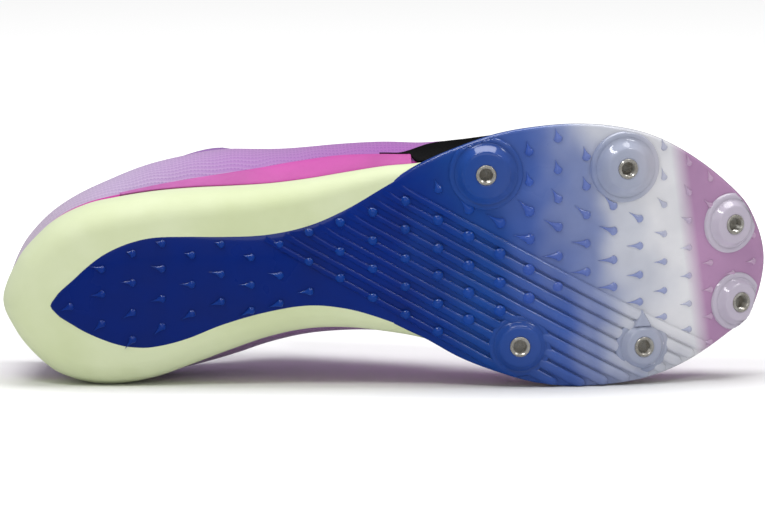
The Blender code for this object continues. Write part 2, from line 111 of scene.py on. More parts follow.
# Even points round an outline: heel tip, lateral side, toe tip, medial side
def outlinePoints(rows, count):
    outer = [Vector((s * shoe["length"], -lateral * widthAt(s))) for s, lateral, medial in rows]
    inner = [Vector((s * shoe["length"], medial * widthAt(s))) for s, lateral, medial in rows]
    corners = outer + inner[-2:0:-1]
    wrapped = corners[-3:] + corners + corners[:4]
    knots = runOf(wrapped)
    toe = knots[3 + len(outer) - 1]
    heel = knots[3]
    again = knots[3 + len(corners)]
    loop = []
    for start, end in ((heel, toe), (toe, again)):
        fine = [mix(start, end, k / 600) for k in range(601)]
        places = [[p[axis] for p in wrapped] for axis in (0, 1)]
        curve = [Vector([through(knots, place, at) for place in places]) for at in fine]
        run = runOf(curve)
        k = 0
        for step in range(count // 2):
            want = run[-1] * step / (count // 2)
            while run[k + 1] < want:
                k += 1
            loop.append(curve[k].lerp(curve[k + 1], (want - run[k]) / (run[k + 1] - run[k])))
    return loop


def outwardOf(loop):
    found = []
    for k, point in enumerate(loop):
        along = loop[(k + 1) % len(loop)] - loop[k - 1]
        found.append(Vector((along.y, -along.x)).normalized())
    middle = sum(loop, Vector((0, 0))) / len(loop)
    facing = sum(n.dot(p - middle) for n, p in zip(found, loop))
    return found if facing > 0 else [-n for n in found]


def offsetLoop(loop, distances):
    return [p + n * d for p, n, d in zip(loop, outwardOf(loop), distances)]


plateRows = (
    (0.0625, -0.149, 0.149), (0.095, 0.009, 0.263), (0.128, 0.132, 0.335),
    (0.160, 0.206, 0.382), (0.193, 0.246, 0.392), (0.240, 0.254, 0.346),
    (0.290, 0.248, 0.257), (0.345, 0.241, 0.178), (0.400, 0.262, 0.131),
    (0.450, 0.314, 0.135), (0.500, 0.385, 0.171), (0.550, 0.452, 0.225),
    (0.600, 0.506, 0.300), (0.650, 0.554, 0.356), (0.700, 0.578, 0.397),
    (0.750, 0.586, 0.413), (0.800, 0.572, 0.410), (0.850, 0.531, 0.390),
    (0.900, 0.448, 0.339), (0.950, 0.325, 0.255), (0.982, 0.208, 0.182),
    (1.000, 0.019, -0.019),
)
foamRows = (
    (0.000, -0.154, 0.154), (0.018, 0.057, 0.335), (0.040, 0.180, 0.448),
    (0.070, 0.295, 0.549), (0.110, 0.378, 0.605), (0.150, 0.418, 0.615),
    (0.200, 0.452, 0.578), (0.250, 0.472, 0.502), (0.300, 0.472, 0.409),
    (0.350, 0.458, 0.315), (0.400, 0.448, 0.251), (0.450, 0.445, 0.223),
    (0.500, 0.444, 0.221), (0.550, 0.441, 0.235), (0.600, 0.469, 0.279),
    (0.650, 0.507, 0.320), (0.700, 0.533, 0.355), (0.750, 0.542, 0.373),
    (0.800, 0.531, 0.371), (0.850, 0.496, 0.350), (0.900, 0.417, 0.300),
    (0.950, 0.295, 0.220), (0.976, 0.188, 0.151), (0.991, 0.021, -0.021),
)
plateLoop = outlinePoints(plateRows, 320)
for point in plateLoop:
    tipShare = smoothStep(0, 0.0035, point.x - plateLoop[0].x)  # The heel tip is nearly pointed
    point.y = mix(plateLoop[0].y, point.y, mix(0.72, 1.0, tipShare))
foamLoop = outlinePoints(foamRows, 320)


# The outline's two sides at x, for what has to stay on the plate
def plateSides(x):
    share = min(max(x / shoe["length"], plateRows[0][0]), 1.0)
    knots = [row[0] for row in plateRows]
    width = widthAt(share)
    lateral = -through(knots, [row[1] for row in plateRows], share) * width
    medial = through(knots, [row[2] for row in plateRows], share) * width
    return lateral, medial


def toRow(bm):
    bmesh.ops.transform(bm, matrix=shoeToRow, verts=bm.verts)


# Turns a mesh into a piece of the shoe, which rides on its one body
def makePiece(name, bm, finish, replaced=(), sharp=40, recalc=True):
    if recalc:
        bmesh.ops.recalc_face_normals(bm, faces=bm.faces)
    mesh = bpy.data.meshes.new(name)
    bm.to_mesh(mesh)
    bm.free()
    mesh.materials.append(finish)
    mesh.shade_smooth()
    mesh.set_sharp_from_angle(angle=math.radians(sharp))
    piece = bpy.data.objects.new(name, mesh)
    bpy.context.scene.collection.objects.link(piece)
    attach(piece, "root")
    if replaced:
        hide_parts(*replaced)
    return piece


# Rings of points joined by extruding the first one again and again
def loft(bm, rings):
    verts = [bm.verts.new(point) for point in rings[0]]
    first = list(verts)
    edges = [bm.edges.new((a, b)) for a, b in zip(verts, verts[1:] + verts[:1])]
    for points in rings[1:]:
        order = {v: k for k, v in enumerate(verts)}
        made = bmesh.ops.extrude_edge_only(bm, edges=edges)["geom"]
        fresh = [g for g in made if isinstance(g, bmesh.types.BMVert)]
        rims = [g for g in made if isinstance(g, bmesh.types.BMEdge)]
        edges = [e for e in rims if not any(v in order for v in e.verts)]
        verts = [None] * len(points)
        for v in fresh:
            source = next(e.other_vert(v) for e in v.link_edges if e.other_vert(v) in order)
            verts[order[source]] = v
        for v, point in zip(verts, points):
            v.co = point
    return first, verts


# Closes a ring of the sole with strips that run from its lateral to its medial side
def closeAcross(bm, ring):
    count = len(ring)
    half = count // 2
    bm.faces.new((ring[0], ring[1], ring[count - 1]))
    for k in range(1, half - 1):
        bm.faces.new((ring[k], ring[k + 1], ring[count - k - 1], ring[count - k]))
    bm.faces.new((ring[half - 1], ring[half], ring[half + 1]))


def closedLoft(bm, rings):
    for ring in loft(bm, rings):
        closeAcross(bm, ring)


# Small helpers for materials
def tone(red, green, blue):
    def linear(c):
        c /= 255
        return c / 12.92 if c <= 0.04045 else ((c + 0.055) / 1.055) ** 2.4

    return (linear(red), linear(green), linear(blue), 1)


def give(tree, socket, value):
    if isinstance(value, bpy.types.NodeSocket):
        tree.links.new(value, socket)
    elif value is not None:
        socket.default_value = value


def put(tree, kind, inputs=None, **settings):
    made = tree.nodes.new("ShaderNode" + kind)
    for key, value in settings.items():
        setattr(made, key, value)
    for key, value in (inputs or {}).items():
        give(tree, made.inputs[key], value)
    return made


def calc(tree, operation, *values):
    made = put(tree, "Math", operation=operation)
    for socket, value in zip(made.inputs, values):
        give(tree, socket, value)
    return made.outputs[0]


def blendColour(tree, share, a, b, mode="MIX"):
    made = put(tree, "Mix", data_type="RGBA", blend_type=mode)
    for index, value in ((0, share), (6, a), (7, b)):
        give(tree, made.inputs[index], value)
    return made.outputs[2]


def rampOf(tree, value, stops, smooth="EASE"):
    made = put(tree, "ValToRGB", {"Fac": value})
    ramp = made.color_ramp
    ramp.interpolation = smooth
    while len(ramp.elements) > 1:
        ramp.elements.remove(ramp.elements[-1])
    for place, colour in stops:
        stop = ramp.elements.new(place) if place != stops[0][0] else ramp.elements[0]
        stop.position = place
        stop.color = tone(*colour)
    return made.outputs[0]


def scaled(tree, value, low, high, toLow=0.0, toHigh=1.0):
    made = put(tree, "MapRange", {"Value": value, "From Min": low, "From Max": high})
    made.inputs["To Min"].default_value = toLow
    made.inputs["To Max"].default_value = toHigh
    return made.outputs[0]


def partsOf(tree, vector):
    return put(tree, "SeparateXYZ", {"Vector": vector}).outputs


def uvOn(tree, name):
    return partsOf(tree, put(tree, "UVMap", uv_map=name).outputs[0])


def noiseOn(tree, coords, scale, detail, roughness=0.5):
    given = {"Vector": coords, "Scale": scale, "Detail": detail, "Roughness": roughness}
    return put(tree, "TexNoise", given).outputs["Fac"]


# A material with these shader values, its node tree, its shader's sockets and its coordinates
def newMaterial(name, values):
    made = bpy.data.materials.new(name)
    made.use_nodes = True
    tree = made.node_tree
    sockets = tree.nodes["Principled BSDF"].inputs
    for key, value in values.items():
        sockets[key].default_value = value
    return made, tree, sockets, put(tree, "TexCoord").outputs["Object"]


def newGroup(name, ins, outs):
    tree = bpy.data.node_groups.new(name, "ShaderNodeTree")
    for label, kind, value in ins:
        socket = tree.interface.new_socket(label, in_out="INPUT", socket_type="NodeSocket" + kind)
        if value is not None:
            socket.default_value = value
    for label, kind in outs:
        tree.interface.new_socket(label, in_out="OUTPUT", socket_type="NodeSocket" + kind)
    return tree, tree.nodes.new("NodeGroupInput").outputs, tree.nodes.new("NodeGroupOutput").inputs


def useGroup(tree, group, inputs):
    made = tree.nodes.new("ShaderNodeGroup")
    made.node_tree = group
    for key, value in inputs.items():
        give(tree, made.inputs[key], value)
    return made.outputs


def bumpOn(tree, sockets, height, distance, strength):
    bump = put(tree, "Bump", {"Height": height, "Distance": distance, "Strength": strength})
    give(tree, sockets["Normal"], bump.outputs[0])


# Fine grain of moulded foam and film: a height and a mottled mask
def makeGrainGroup():
    tree, given, out = newGroup(
        "fineGrain",
        (("Vector", "Vector", None), ("Grain size", "Float", 0.0006), ("Blotch size", "Float", 0.012)),
        (("Height", "Float"), ("Mottle", "Float")),
    )
    fineScale = calc(tree, "DIVIDE", 1.0, given["Grain size"])
    blotchScale = calc(tree, "DIVIDE", 1.0, given["Blotch size"])
    blotch = noiseOn(tree, given["Vector"], blotchScale, 3.0, 0.55)
    give(tree, out["Height"], noiseOn(tree, given["Vector"], fineScale, 2.0, 0.6))
    give(tree, out["Mottle"], scaled(tree, blotch, 0.35, 0.65))
    return tree


# Plain weave: threads over and under, from coordinates counted in threads
def makeWeaveGroup():
    tree, given, out = newGroup(
        "plainWeave",
        (("Along", "Float", 0.0), ("Across", "Float", 0.0)),
        (("Height", "Float"), ("Gap", "Float")),
    )
    waves = []
    for first, second in (("Along", "Across"), ("Across", "Along")):
        turn = calc(tree, "MULTIPLY", given[first], math.pi)
        side = calc(tree, "MULTIPLY", given[second], math.pi)
        crown = calc(tree, "ABSOLUTE", calc(tree, "SINE", turn))
        over = calc(tree, "MULTIPLY_ADD", calc(tree, "SINE", side), 0.5, 0.5)
        waves.append(calc(tree, "MULTIPLY", crown, over))
    height = calc(tree, "MAXIMUM", waves[0], waves[1])
    give(tree, out["Height"], height)
    give(tree, out["Gap"], scaled(tree, height, 0.45, 0.15))
    return tree


grainGroup = makeGrainGroup()
weaveGroup = makeWeaveGroup()


def grainOn(tree, coords, sizes):
    return useGroup(tree, grainGroup, {"Vector": coords, "Grain size": sizes[0], "Blotch size": sizes[1]})


# Two tones of a finish, mottled
def twoTones(tree, grain, tones):
    return blendColour(tree, grain["Mottle"], tone(*tones[0]), tone(*tones[1]))


# Roughness that follows one of the grain's outputs, from one span of values to another
def roughOn(tree, sockets, grain, source, *spans):
    give(tree, sockets["Roughness"], scaled(tree, grain[source], *spans))


# A moulded finish from its look: values, grain sizes, two tones, roughness and bump
def makeMoulded(name, look):
    finish, tree, sockets, coords = newMaterial(name, look["values"])
    grain = grainOn(tree, coords, look["grain"])
    give(tree, sockets["Base Color"], twoTones(tree, grain, look["tones"]))
    if "rough" in look:
        roughOn(tree, sockets, grain, *look["rough"])
    bumpOn(tree, sockets, grain["Height"], *look["bump"])
    return finish


# A cloth from its look, with its threads counted along and across. A bound edge covers the weave
def makeWoven(name, look, threads, edge=None):
    finish, tree, sockets, coords = newMaterial(name, look["values"])
    along, across = threads(tree, coords)
    weave = useGroup(tree, weaveGroup, {"Along": along, "Across": across})
    yarn = twoTones(tree, grainOn(tree, coords, look["grain"]), look["tones"])
    gap = calc(tree, "MULTIPLY", weave["Gap"], look["gapShare"])
    cloth = blendColour(tree, gap, yarn, tone(*look["gap"]))
    if edge:
        cloth = blendColour(tree, edge(tree), cloth, tone(*look["edge"]))
    give(tree, sockets["Base Color"], cloth)
    bumpOn(tree, sockets, weave["Height"], *look["bump"])
    return finish


print("helpers ready")

# Camera, floor and lights
stageLook = {
    "eyeHeight": 0.0469,
    "eyeDistance": 6.0,
    "viewAngle": 7.2,
    "lens": 784.3,
    "keyPower": 4.8,
    "sidePower": 1.9,
    "frontPower": 1.5,
    "topPower": 10.5,
    "world": 0.30,
    "glossWorld": 0.05,
    "glossFloor": 0.03,
    "floorGlow": 0.45,
    "glowFrom": (0.13, 0.38),
}


def addCamera():
    data = bpy.data.cameras.new("camera")
    data.lens = stageLook["lens"]
    data.sensor_width = 36
    camera = bpy.data.objects.new("camera", data)
    bpy.context.scene.collection.objects.link(camera)
    angle = math.radians(stageLook["viewAngle"])
    target = Vector((-0.0005, -0.047, stageLook["eyeHeight"]))
    back = Vector((0, -math.cos(angle), math.sin(angle)))
    camera.location = target + back * stageLook["eyeDistance"]
    camera.rotation_euler = (math.pi / 2 - angle, 0, 0)
    bpy.context.scene.camera = camera


def addSoftbox(name, place, aim, size, power):
    data = bpy.data.lights.new(name, "AREA")
    data.shape = "RECTANGLE"
    data.size, data.size_y = size
    data.energy = power
    light = bpy.data.objects.new(name, data)
    bpy.context.scene.collection.objects.link(light)
    light.location = place
    light.rotation_euler = (Vector(aim) - Vector(place)).to_track_quat("-Z", "Y").to_euler()


def addFloor():
    values = {"Roughness": 0.9, "Specular IOR Level": 0.0}
    finish, tree, sockets, coords = newMaterial("studioFloor", values)
    rays = put(tree, "LightPath").outputs
    mottle = noiseOn(tree, coords, 6.0, 2.0)
    pale = blendColour(tree, mottle, (0.90, 0.90, 0.90, 1), (0.93, 0.93, 0.93, 1))
    # Painted reflection: glossy rays see the floor near black, so it shows dark in the shoe's gloss
    dim = stageLook["glossFloor"]
    seen = blendColour(tree, rays["Is Glossy Ray"], pale, (dim, dim, dim, 1))
    give(tree, sockets["Base Color"], seen)
    # Painted light: the camera alone sees the floor glow white away from the shoe, while near the shoe it
    # keeps its shadow
    spot = partsOf(tree, coords)
    aside = calc(tree, "POWER", calc(tree, "MULTIPLY", spot["X"], 0.62), 2.0)
    away = calc(tree, "SQRT", calc(tree, "ADD", aside, calc(tree, "POWER", spot["Y"], 2.0)))
    around = calc(tree, "MULTIPLY", scaled(tree, away, *stageLook["glowFrom"]), rays["Is Camera Ray"])
    give(tree, sockets["Emission Color"], blendColour(tree, around, (0, 0, 0, 1), (1, 1, 1, 1)))
    sockets["Emission Strength"].default_value = stageLook["floorGlow"]
    bm = bmesh.new()
    bmesh.ops.create_circle(bm, cap_ends=True, radius=12, segments=96)
    mesh = bpy.data.meshes.new("floor")
    bm.to_mesh(mesh)
    bm.free()
    mesh.materials.append(finish)
    floor = bpy.data.objects.new("floor", mesh)
    bpy.context.scene.collection.objects.link(floor)


def addWorld():
    world = bpy.data.worlds.new("studio")
    world.use_nodes = True
    tree = world.node_tree
    rays = put(tree, "LightPath").outputs
    fall = stageLook["glossWorld"] - stageLook["world"]
    strength = calc(tree, "MULTIPLY_ADD", rays["Is Glossy Ray"], fall, stageLook["world"])
    background = tree.nodes["Background"].inputs
    give(tree, background["Strength"], strength)
    background["Color"].default_value = (1, 1, 1, 1)
    bpy.context.scene.world = world
    bpy.context.scene.view_settings.view_transform = "Standard"


addCamera()
addFloor()
addWorld()
addSoftbox("keyLight", (-0.45, -0.70, 1.15), (0, 0, 0.03), (0.60, 0.20), stageLook["keyPower"])
addSoftbox("sideLight", (0.75, -0.5, 0.9), (0.05, 0, 0.03), (0.40, 0.18), stageLook["sidePower"])
addSoftbox("frontLight", (0.0, -1.6, 0.55), (0, 0, 0.05), (1.2, 0.5), stageLook["frontPower"])
addSoftbox("topLight", (0.0, 0.08, 1.15), (0, 0, 0), (1.1, 0.6), stageLook["topPower"])
print("stage ready")

# Plate: one sheet of moulded polymer with a rounded rim
plate = {
    "thickness": 0.0020,
    "rim": 0.0009,
    "curlUp": 0.0007,
    "cutEvery": 0.003,
    "lean": 0.18,
    "cloud": 0.008,
    "toeLean": 0.127,
    "toeLine": (0.1140, 0.1200),
    "cutsAcross": (-0.047, -0.0425, -0.035, -0.0175, 0, 0.0175, 0.035, 0.0425, 0.047),
    "values": {
        "Roughness": 0.30,
        "Coat Weight": 1.0,
        "Coat Roughness": 0.06,
        "Specular IOR Level": 0.15,
    },
}


# The colour run along the sole, leaning a little, with stops in millimetres from its middle
def plateColours(tree, coords, stops, toeColour):
    spot = partsOf(tree, coords)
    leaning = calc(tree, "MULTIPLY_ADD", spot["Z"], plate["lean"], spot["X"])
    reach = plate["cloud"]
    cloud = scaled(tree, noiseOn(tree, coords, 32.0, 2.0), 0.3, 0.7, -reach, reach)
    place = scaled(tree, calc(tree, "ADD", leaning, cloud), -0.14, 0.16)
    body = rampOf(tree, place, [((at + 140) / 300, colour) for at, colour in stops])
    ahead = calc(tree, "MULTIPLY_ADD", spot["Z"], plate["toeLean"], spot["X"])
    return blendColour(tree, scaled(tree, ahead, *plate["toeLine"]), body, tone(*toeColour))


plateStops = (
    (-140, (0, 32, 116)), (-25, (0, 36, 122)), (15, (0, 42, 134)), (44, (26, 72, 154)),
    (66, (70, 99, 174)), (82, (130, 144, 190)), (97, (206, 209, 220)), (112, (234, 234, 238)),
    (150, (234, 234, 238)),
)
bossStops = (
    (-140, (12, 48, 124)), (40, (34, 74, 154)), (66, (56, 86, 160)), (80, (114, 130, 178)),
    (100, (170, 176, 196)), (118, (200, 199, 211)), (150, (204, 201, 214)),
)


def makePolymer(name, stops, toeColour, tint):
    finish, tree, sockets, coords = newMaterial(name, plate["values"])
    grain = grainOn(tree, coords, (0.0011, 0.020))
    colour = plateColours(tree, coords, stops, toeColour)
    deeper = blendColour(tree, 1.0, colour, (tint, tint, tint * 1.02, 1), "MULTIPLY")
    give(tree, sockets["Base Color"], blendColour(tree, grain["Mottle"], colour, deeper))
    roughOn(tree, sockets, grain, "Mottle", 0, 1, 0.26, 0.36)
    bumpOn(tree, sockets, grain["Height"], 0.00002, 0.35)
    return finish


platePolymer = makePolymer("platePolymer", plateStops, (190, 148, 187), 0.88)
bossPolymer = makePolymer("bossPolymer", bossStops, (203, 194, 210), 0.92)


# The plate's edges curl up a little, but not at its heel tip
def curlAt(x, y):
    lateral, medial = plateSides(x)
    middle, half = (lateral + medial) / 2, max((medial - lateral) / 2, 0.004)
    return plate["curlUp"] * smoothStep(0.020, 0.050, x) * min(abs((y - middle) / half), 1) ** 6


def cutAt(bm, place, facing):
    geom = bm.verts[:] + bm.edges[:] + bm.faces[:]
    bmesh.ops.bisect_plane(bm, geom=geom, dist=1e-6, plane_co=place, plane_no=facing)


def makePlate():
    bm = bmesh.new()
    top = bm.faces.new([bm.verts.new((p.x, p.y, plate["thickness"])) for p in plateLoop])
    made = bmesh.ops.extrude_face_region(bm, geom=[top])["geom"]
    under = next(g for g in made if isinstance(g, bmesh.types.BMFace))
    bmesh.ops.translate(bm, vec=(0, 0, -plate["thickness"]), verts=under.verts)
    bmesh.ops.bevel(
        bm, geom=list(under.edges), offset=plate["rim"], offset_type="OFFSET", affect="EDGES",
        segments=4, profile=0.5, material=-1, clamp_overlap=True,
    )
    x = 0.018
    while x < shoe["length"]:
        cutAt(bm, (x, 0, 0), (1, 0, 0))
        x += plate["cutEvery"]
    for y in plate["cutsAcross"]:
        cutAt(bm, (0, y, 0), (0, 1, 0))
    for v in bm.verts:
        v.co.z += lift(v.co.x) + curlAt(v.co.x, v.co.y)
    toRow(bm)
    makePiece("sole_plate", bm, platePolymer, ["outsole_plate"], sharp=35)


makePlate()
print("plate ready")

# Bosses: place as shares of length and ball width, then radii of base and face, and height
bossTable = (
    (0.634, -0.405, 0.0120, 0.0084, 0.0040), (0.816, -0.417, 0.0116, 0.0072, 0.0040),
    (0.955, -0.170, 0.0096, 0.0068, 0.0035), (0.963, 0.130, 0.0092, 0.0066, 0.0035),
    (0.838, 0.268, 0.0088, 0.0064, 0.0030), (0.678, 0.251, 0.0100, 0.0074, 0.0030),
)
boss = {
    "gap": 0.00005,
    "buried": 0.0012,
    "skirt": 0.0016,
    "foot": 0.0007,
    "bead": 0.0009,
    "edge": 0.0006,
    "toeEdge": 0.0010,
    "triangle": (0.0034, 0.0046, 0.0022),
    "triangleRound": 0.0005,
    "triangleAway": 0.0028,
    "triangleDeep": 0.0012,
}
insert = {
    "radius": 0.0036,
    "bore": 0.0026,
    "lip": 0.0003,
    "proud": 0.0004,
    "floor": 0.0003,
    "wall": 0.0006,
    "turns": 5,
    "threadDepth": 0.00035,
}


def bossFrame(at, across):
    x = at * shoe["length"]
    tilt = Matrix.Rotation(-math.atan(slopeAt(x)), 4, "Y")
    return Matrix.Translation((x, across * shoe["ballWidth"], lift(x))) @ tilt


def spun(bm, profile, steps, closed):
    verts = [bm.verts.new((r, 0, z)) for r, z in profile]
    pairs = list(zip(verts, verts[1:])) + ([(verts[-1], verts[0])] if closed else [])
    edges = [bm.edges.new(pair) for pair in pairs]
    bmesh.ops.spin(
        bm, geom=verts + edges, cent=(0, 0, 0), axis=(0, 0, 1), angle=2 * math.pi, steps=steps,
        use_merge=True,
    )
    bmesh.ops.remove_doubles(bm, verts=bm.verts, dist=1e-7)


# Keeps a boss on the plate where the outline runs close to it
def pullInside(bm, centre):
    edge = boss["edge"]
    toe = shoe["length"] - boss["toeEdge"]
    for v in bm.verts:
        for _ in range(24):
            lateral, medial = plateSides(v.co.x)
            if max(lateral + edge - v.co.y, v.co.y - medial + edge, v.co.x - toe) <= 0:
                break
            v.co.x += (centre.x - v.co.x) * 0.05
            v.co.y += (centre.y - v.co.y) * 0.05


def addTo(whole, bm):
    mesh = bpy.data.meshes.new("part")
    bm.to_mesh(mesh)
    bm.free()
    whole.from_mesh(mesh)
    bpy.data.meshes.remove(mesh)


# Half section of a boss: its hole, its dished face, its flank and a bead round its foot
def bossProfile(base, face, height):
    hole = insert["radius"] + boss["gap"]
    foot, bead = boss["foot"], boss["bead"]
    profile = [(hole, boss["buried"]), (hole, 0.0001 - height), (hole + 0.0003, -height - 0.0001)]
    for k in range(1, 4):
        profile.append((mix(hole, face, k / 4), -height - 0.0001 + 0.00025 * (k / 4) ** 2))
    start = smoothStep(-0.25, 1.0, 0)
    for k in range(12):
        drop = (smoothStep(-0.25, 1.0, k / 11) - start) / (1 - start)
        profile.append((mix(face, base - 0.0006, k / 11), mix(-height + 0.0001, -foot, drop)))
    for k in range(1, 8):
        turn = math.pi * k / 8
        low = -foot * (1 - k / 16) - 0.0003 * math.sin(turn)
        profile.append((base + 0.0003 - bead * math.cos(turn), low))
    profile.append((base + boss["skirt"], boss["buried"]))
    return profile


def makeBosses():
    whole = bmesh.new()
    for at, across, base, face, height in bossTable:
        bm = bmesh.new()
        spun(bm, bossProfile(base, face, height), 64, True)
        placed = bossFrame(at, across)
        bmesh.ops.transform(bm, matrix=placed, verts=bm.verts)
        pullInside(bm, placed.translation)
        addTo(whole, bm)

    # A small raised triangle points at the fifth boss
    at, across, base, face, height = bossTable[4]
    low, high, deep = boss["triangle"]
    bm = bmesh.new()
    bmesh.ops.create_cone(bm, cap_ends=True, segments=3, radius1=low, radius2=high, depth=deep)
    bmesh.ops.bevel(
        bm, geom=bm.edges[:], offset=boss["triangleRound"], offset_type="OFFSET", affect="EDGES",
        segments=3, profile=0.5, material=-1,
    )
    aside = Matrix.Translation((0, -face - boss["triangleAway"], -boss["triangleDeep"]))
    placed = bossFrame(at, across) @ aside @ Matrix.Rotation(math.pi, 4, "Z")
    bmesh.ops.transform(bm, matrix=placed, verts=bm.verts)
    addTo(whole, bm)
    toRow(whole)
    makePiece("spike_bosses", whole, bossPolymer, sharp=50)


insertSteel = makeMoulded("insertSteel", {
    "values": {"Metallic": 0.55, "Roughness": 0.22},
    "grain": (0.0004, 0.003),
    "tones": ((226, 224, 218), (190, 184, 172)),
    "rough": ("Mottle", 0, 1, 0.16, 0.34),
    "bump": (0.00003, 0.3),
})


def makeInserts():
    outer, bore, lip = insert["radius"], insert["bore"], insert["lip"]
    bottom, wall, thread = -insert["floor"], insert["wall"], insert["threadDepth"]
    for index, (at, across, base, face, height) in enumerate(bossTable):
        front = -height - insert["proud"]
        profile = [(outer, bottom + wall), (outer, front + 0.0002), (outer - 0.0002, front)]
        profile.append((bore + lip, front))
        pitch = (bottom - front - wall) / insert["turns"]
        for k in range(insert["turns"]):
            z = front + lip + pitch * k
            profile.append((bore, z))
            profile.append((bore - 0.3 * thread, z + 0.1 * pitch))
            profile.append((bore + thread, z + 0.55 * pitch))
        profile += [(bore, bottom - 0.0002), (0.0, bottom), (0.0, bottom + wall)]
        bm = bmesh.new()
        spun(bm, profile, 48, True)
        bmesh.ops.transform(bm, matrix=bossFrame(at, across), verts=bm.verts)
        toRow(bm)
        replaced = [f"receptacle_{index + 1}"]
        makePiece(f"threaded_insert_{index + 1}", bm, insertSteel, replaced, sharp=30)


makeBosses()
makeInserts()
print("bosses and inserts ready")

# Slanting ribs that run from the waist to the medial edge of the forefoot
ribs = {
    "count": 10,
    "angle": 29.3,
    "start": (0.0939, -0.0156),
    "pitch": 0.00445,
    "waistHeight": 0.0007,
    "foreHeight": 0.0014,
    "waistWidth": 0.50,
    "foreWidth": 0.86,
    "sink": 0.0005,
    "foreZone": (0.130, 0.200),
    "margin": 0.0004,
    "lateralMargin": 0.0018,
    "reach": (0.06, 0.262),
    "step": 0.0020,
    "sides": 14,
}


# Where a rib's line starts and leaves the plate, found by walking along it
def ribSpan(origin, along):
    reached = []
    t = -0.06
    while t < 0.24:
        spot = origin + along * t
        lateral, medial = plateSides(spot.x)
        onPlate = lateral + ribs["lateralMargin"] < spot.y < medial - ribs["margin"]
        if ribs["reach"][0] < spot.x < ribs["reach"][1] and onPlate:
            reached.append(t)
        t += 0.0005
    return (reached[0], reached[-1]) if reached else None


# Fades what stands on the plate where a boss takes its place
def besideBosses(spot):
    share = 1.0
    for at, across, base, face, height in bossTable:
        away = math.hypot(spot.x - at * shoe["length"], spot.y - across * shoe["ballWidth"])
        share = min(share, smoothStep(face - 0.001, base, away))
    return share


def ribRings(origin, along, beside, span):
    rings = []
    steps = max(int((span[1] - span[0]) / ribs["step"]), 12)
    for k in range(steps + 1):
        t = mix(span[0], span[1], (1 - math.cos(math.pi * k / steps)) / 2)
        middle = origin + along * t
        fore = smoothStep(*ribs["foreZone"], middle.x)
        close = 1 - min((span[1] - t) / 0.0024, 1)
        rounded = math.sqrt(max(1 - close * close, 0.01))
        width = ribs["pitch"] * mix(ribs["waistWidth"], ribs["foreWidth"], fore) / 2 * rounded
        full = mix(ribs["waistHeight"], ribs["foreHeight"], fore) * rounded
        grown = full * smoothStep(0, 0.012, t - span[0])
        height = mix(-0.8 * ribs["sink"], grown, besideBosses(middle))
        ring = []
        for j in range(ribs["sides"]):
            turn = 2 * math.pi * j / ribs["sides"]
            aside = math.copysign(abs(math.cos(turn)) ** 0.75, math.cos(turn))
            spot = middle + beside * aside * width
            lateral, medial = plateSides(spot.x)
            spot.y = min(max(spot.y, lateral + ribs["margin"]), medial - ribs["margin"])
            rise = abs(math.sin(turn)) ** 0.75
            z = -height * rise if math.sin(turn) > 0 else ribs["sink"] * (1 + rise) / 2
            ring.append((spot.x, spot.y, z + lift(spot.x) + curlAt(spot.x, spot.y)))
        rings.append(ring)
    return rings


def makeRibs():
    angle = math.radians(ribs["angle"])
    along = Vector((math.cos(angle), math.sin(angle)))
    beside = Vector((along.y, -along.x))
    bm = bmesh.new()
    for index in range(ribs["count"]):
        origin = Vector(ribs["start"]) + beside * ribs["pitch"] * index
        span = ribSpan(origin, along)
        if span and span[1] - span[0] > 0.010:
            first, last = loft(bm, ribRings(origin, along, beside, span))
            bm.faces.new(first)
            bm.faces.new(last)
    toRow(bm)
    makePiece("grip_ribs", bm, platePolymer, sharp=60)


makeRibs()
print("ribs ready")

# Small studs: rows across the sole, each with the places of its studs, in millimetres
nubs = {
    "head": 0.00165,
    "heelHead": 0.00145,
    "ballHead": 0.00210,
    "toeHead": 0.00120,
    "flat": 0.60,
    "tail": 0.0042,
    "toeTail": 0.0026,
    "heelZone": (0.105, 0.130),
    "ballFrom": (0.150, 0.165),
    "ballTo": (0.192, 0.206),
    "ballSide": (-0.032, -0.024),
    "toeZone": (0.218, 0.246),
    "rows": (
        (24.4, 9.8),
        (35.8, -4.0, 5.1, 16.0),
        (46.9, -9.8, 0.9, 11.9, 21.8),
        (57.5, -13.4, -4.2, 6.8, 17.1),
        (68.2, -9.2, 1.6, 12.3),
        (78.8, -13.1, -2.2, 7.9),
        (89.6, -8.3, 1.8, 11.2),
        (100.0, -13.1, -1.7, 8.6),
        (110.7, -17.5, -6.8, 4.2),
        (121.9, -21.1, -10.5, -0.8),
        (133.6, -24.8, -14.5, -4.2, 6.4),
        (145.4, -28.8, -18.6, -7.9, 2.4, 12.6),
        (157.1, -33.3, -21.9, -11.6, -1.7, 8.6, 18.9),
        (168.1, -25.9, -16.0, -5.3, 4.6, 14.5),
        (179.3, -20.9, -9.7, 0.9, 11.2),
        (189.8, -46.8, -35.8, -25.1, -14.8, -3.8, 6.6),
        (200.2, -51.4, -40.0, -29.4, -19.1, -8.4, 2.6),
        (210.4, -44.5, -33.7, -23.2, -12.7, -2.3),
        (220.1, -26.1, -16.9, -6.3, 3.6),
        (229.6, -20.9, -10.9, -0.3, 9.6),
        (238.5, -46.3, -35.5, -25.4, -14.7, -4.5, 6.1, 15.7),
        (247.6, -39.8, -29.1, -18.8, -8.9, 1.4, 11.7, 21.1),
        (255.4, -33.4, -23.6, -2.6, 7.3, 17.1, 26.6),
        (263.5, 2.2),
        (271.1, -10.8, -1.3),
    ),
}


# How deep the ribs stand under a stud
def ribRise(x, y):
    angle = math.radians(ribs["angle"])
    away = (x - ribs["start"][0]) * math.sin(angle) - (y - ribs["start"][1]) * math.cos(angle)
    if -mm < away < ribs["pitch"] * (ribs["count"] - 1) + mm and x > 0.1:
        return 0.7 * mix(ribs["waistHeight"], ribs["foreHeight"], smoothStep(*ribs["foreZone"], x))
    return 0


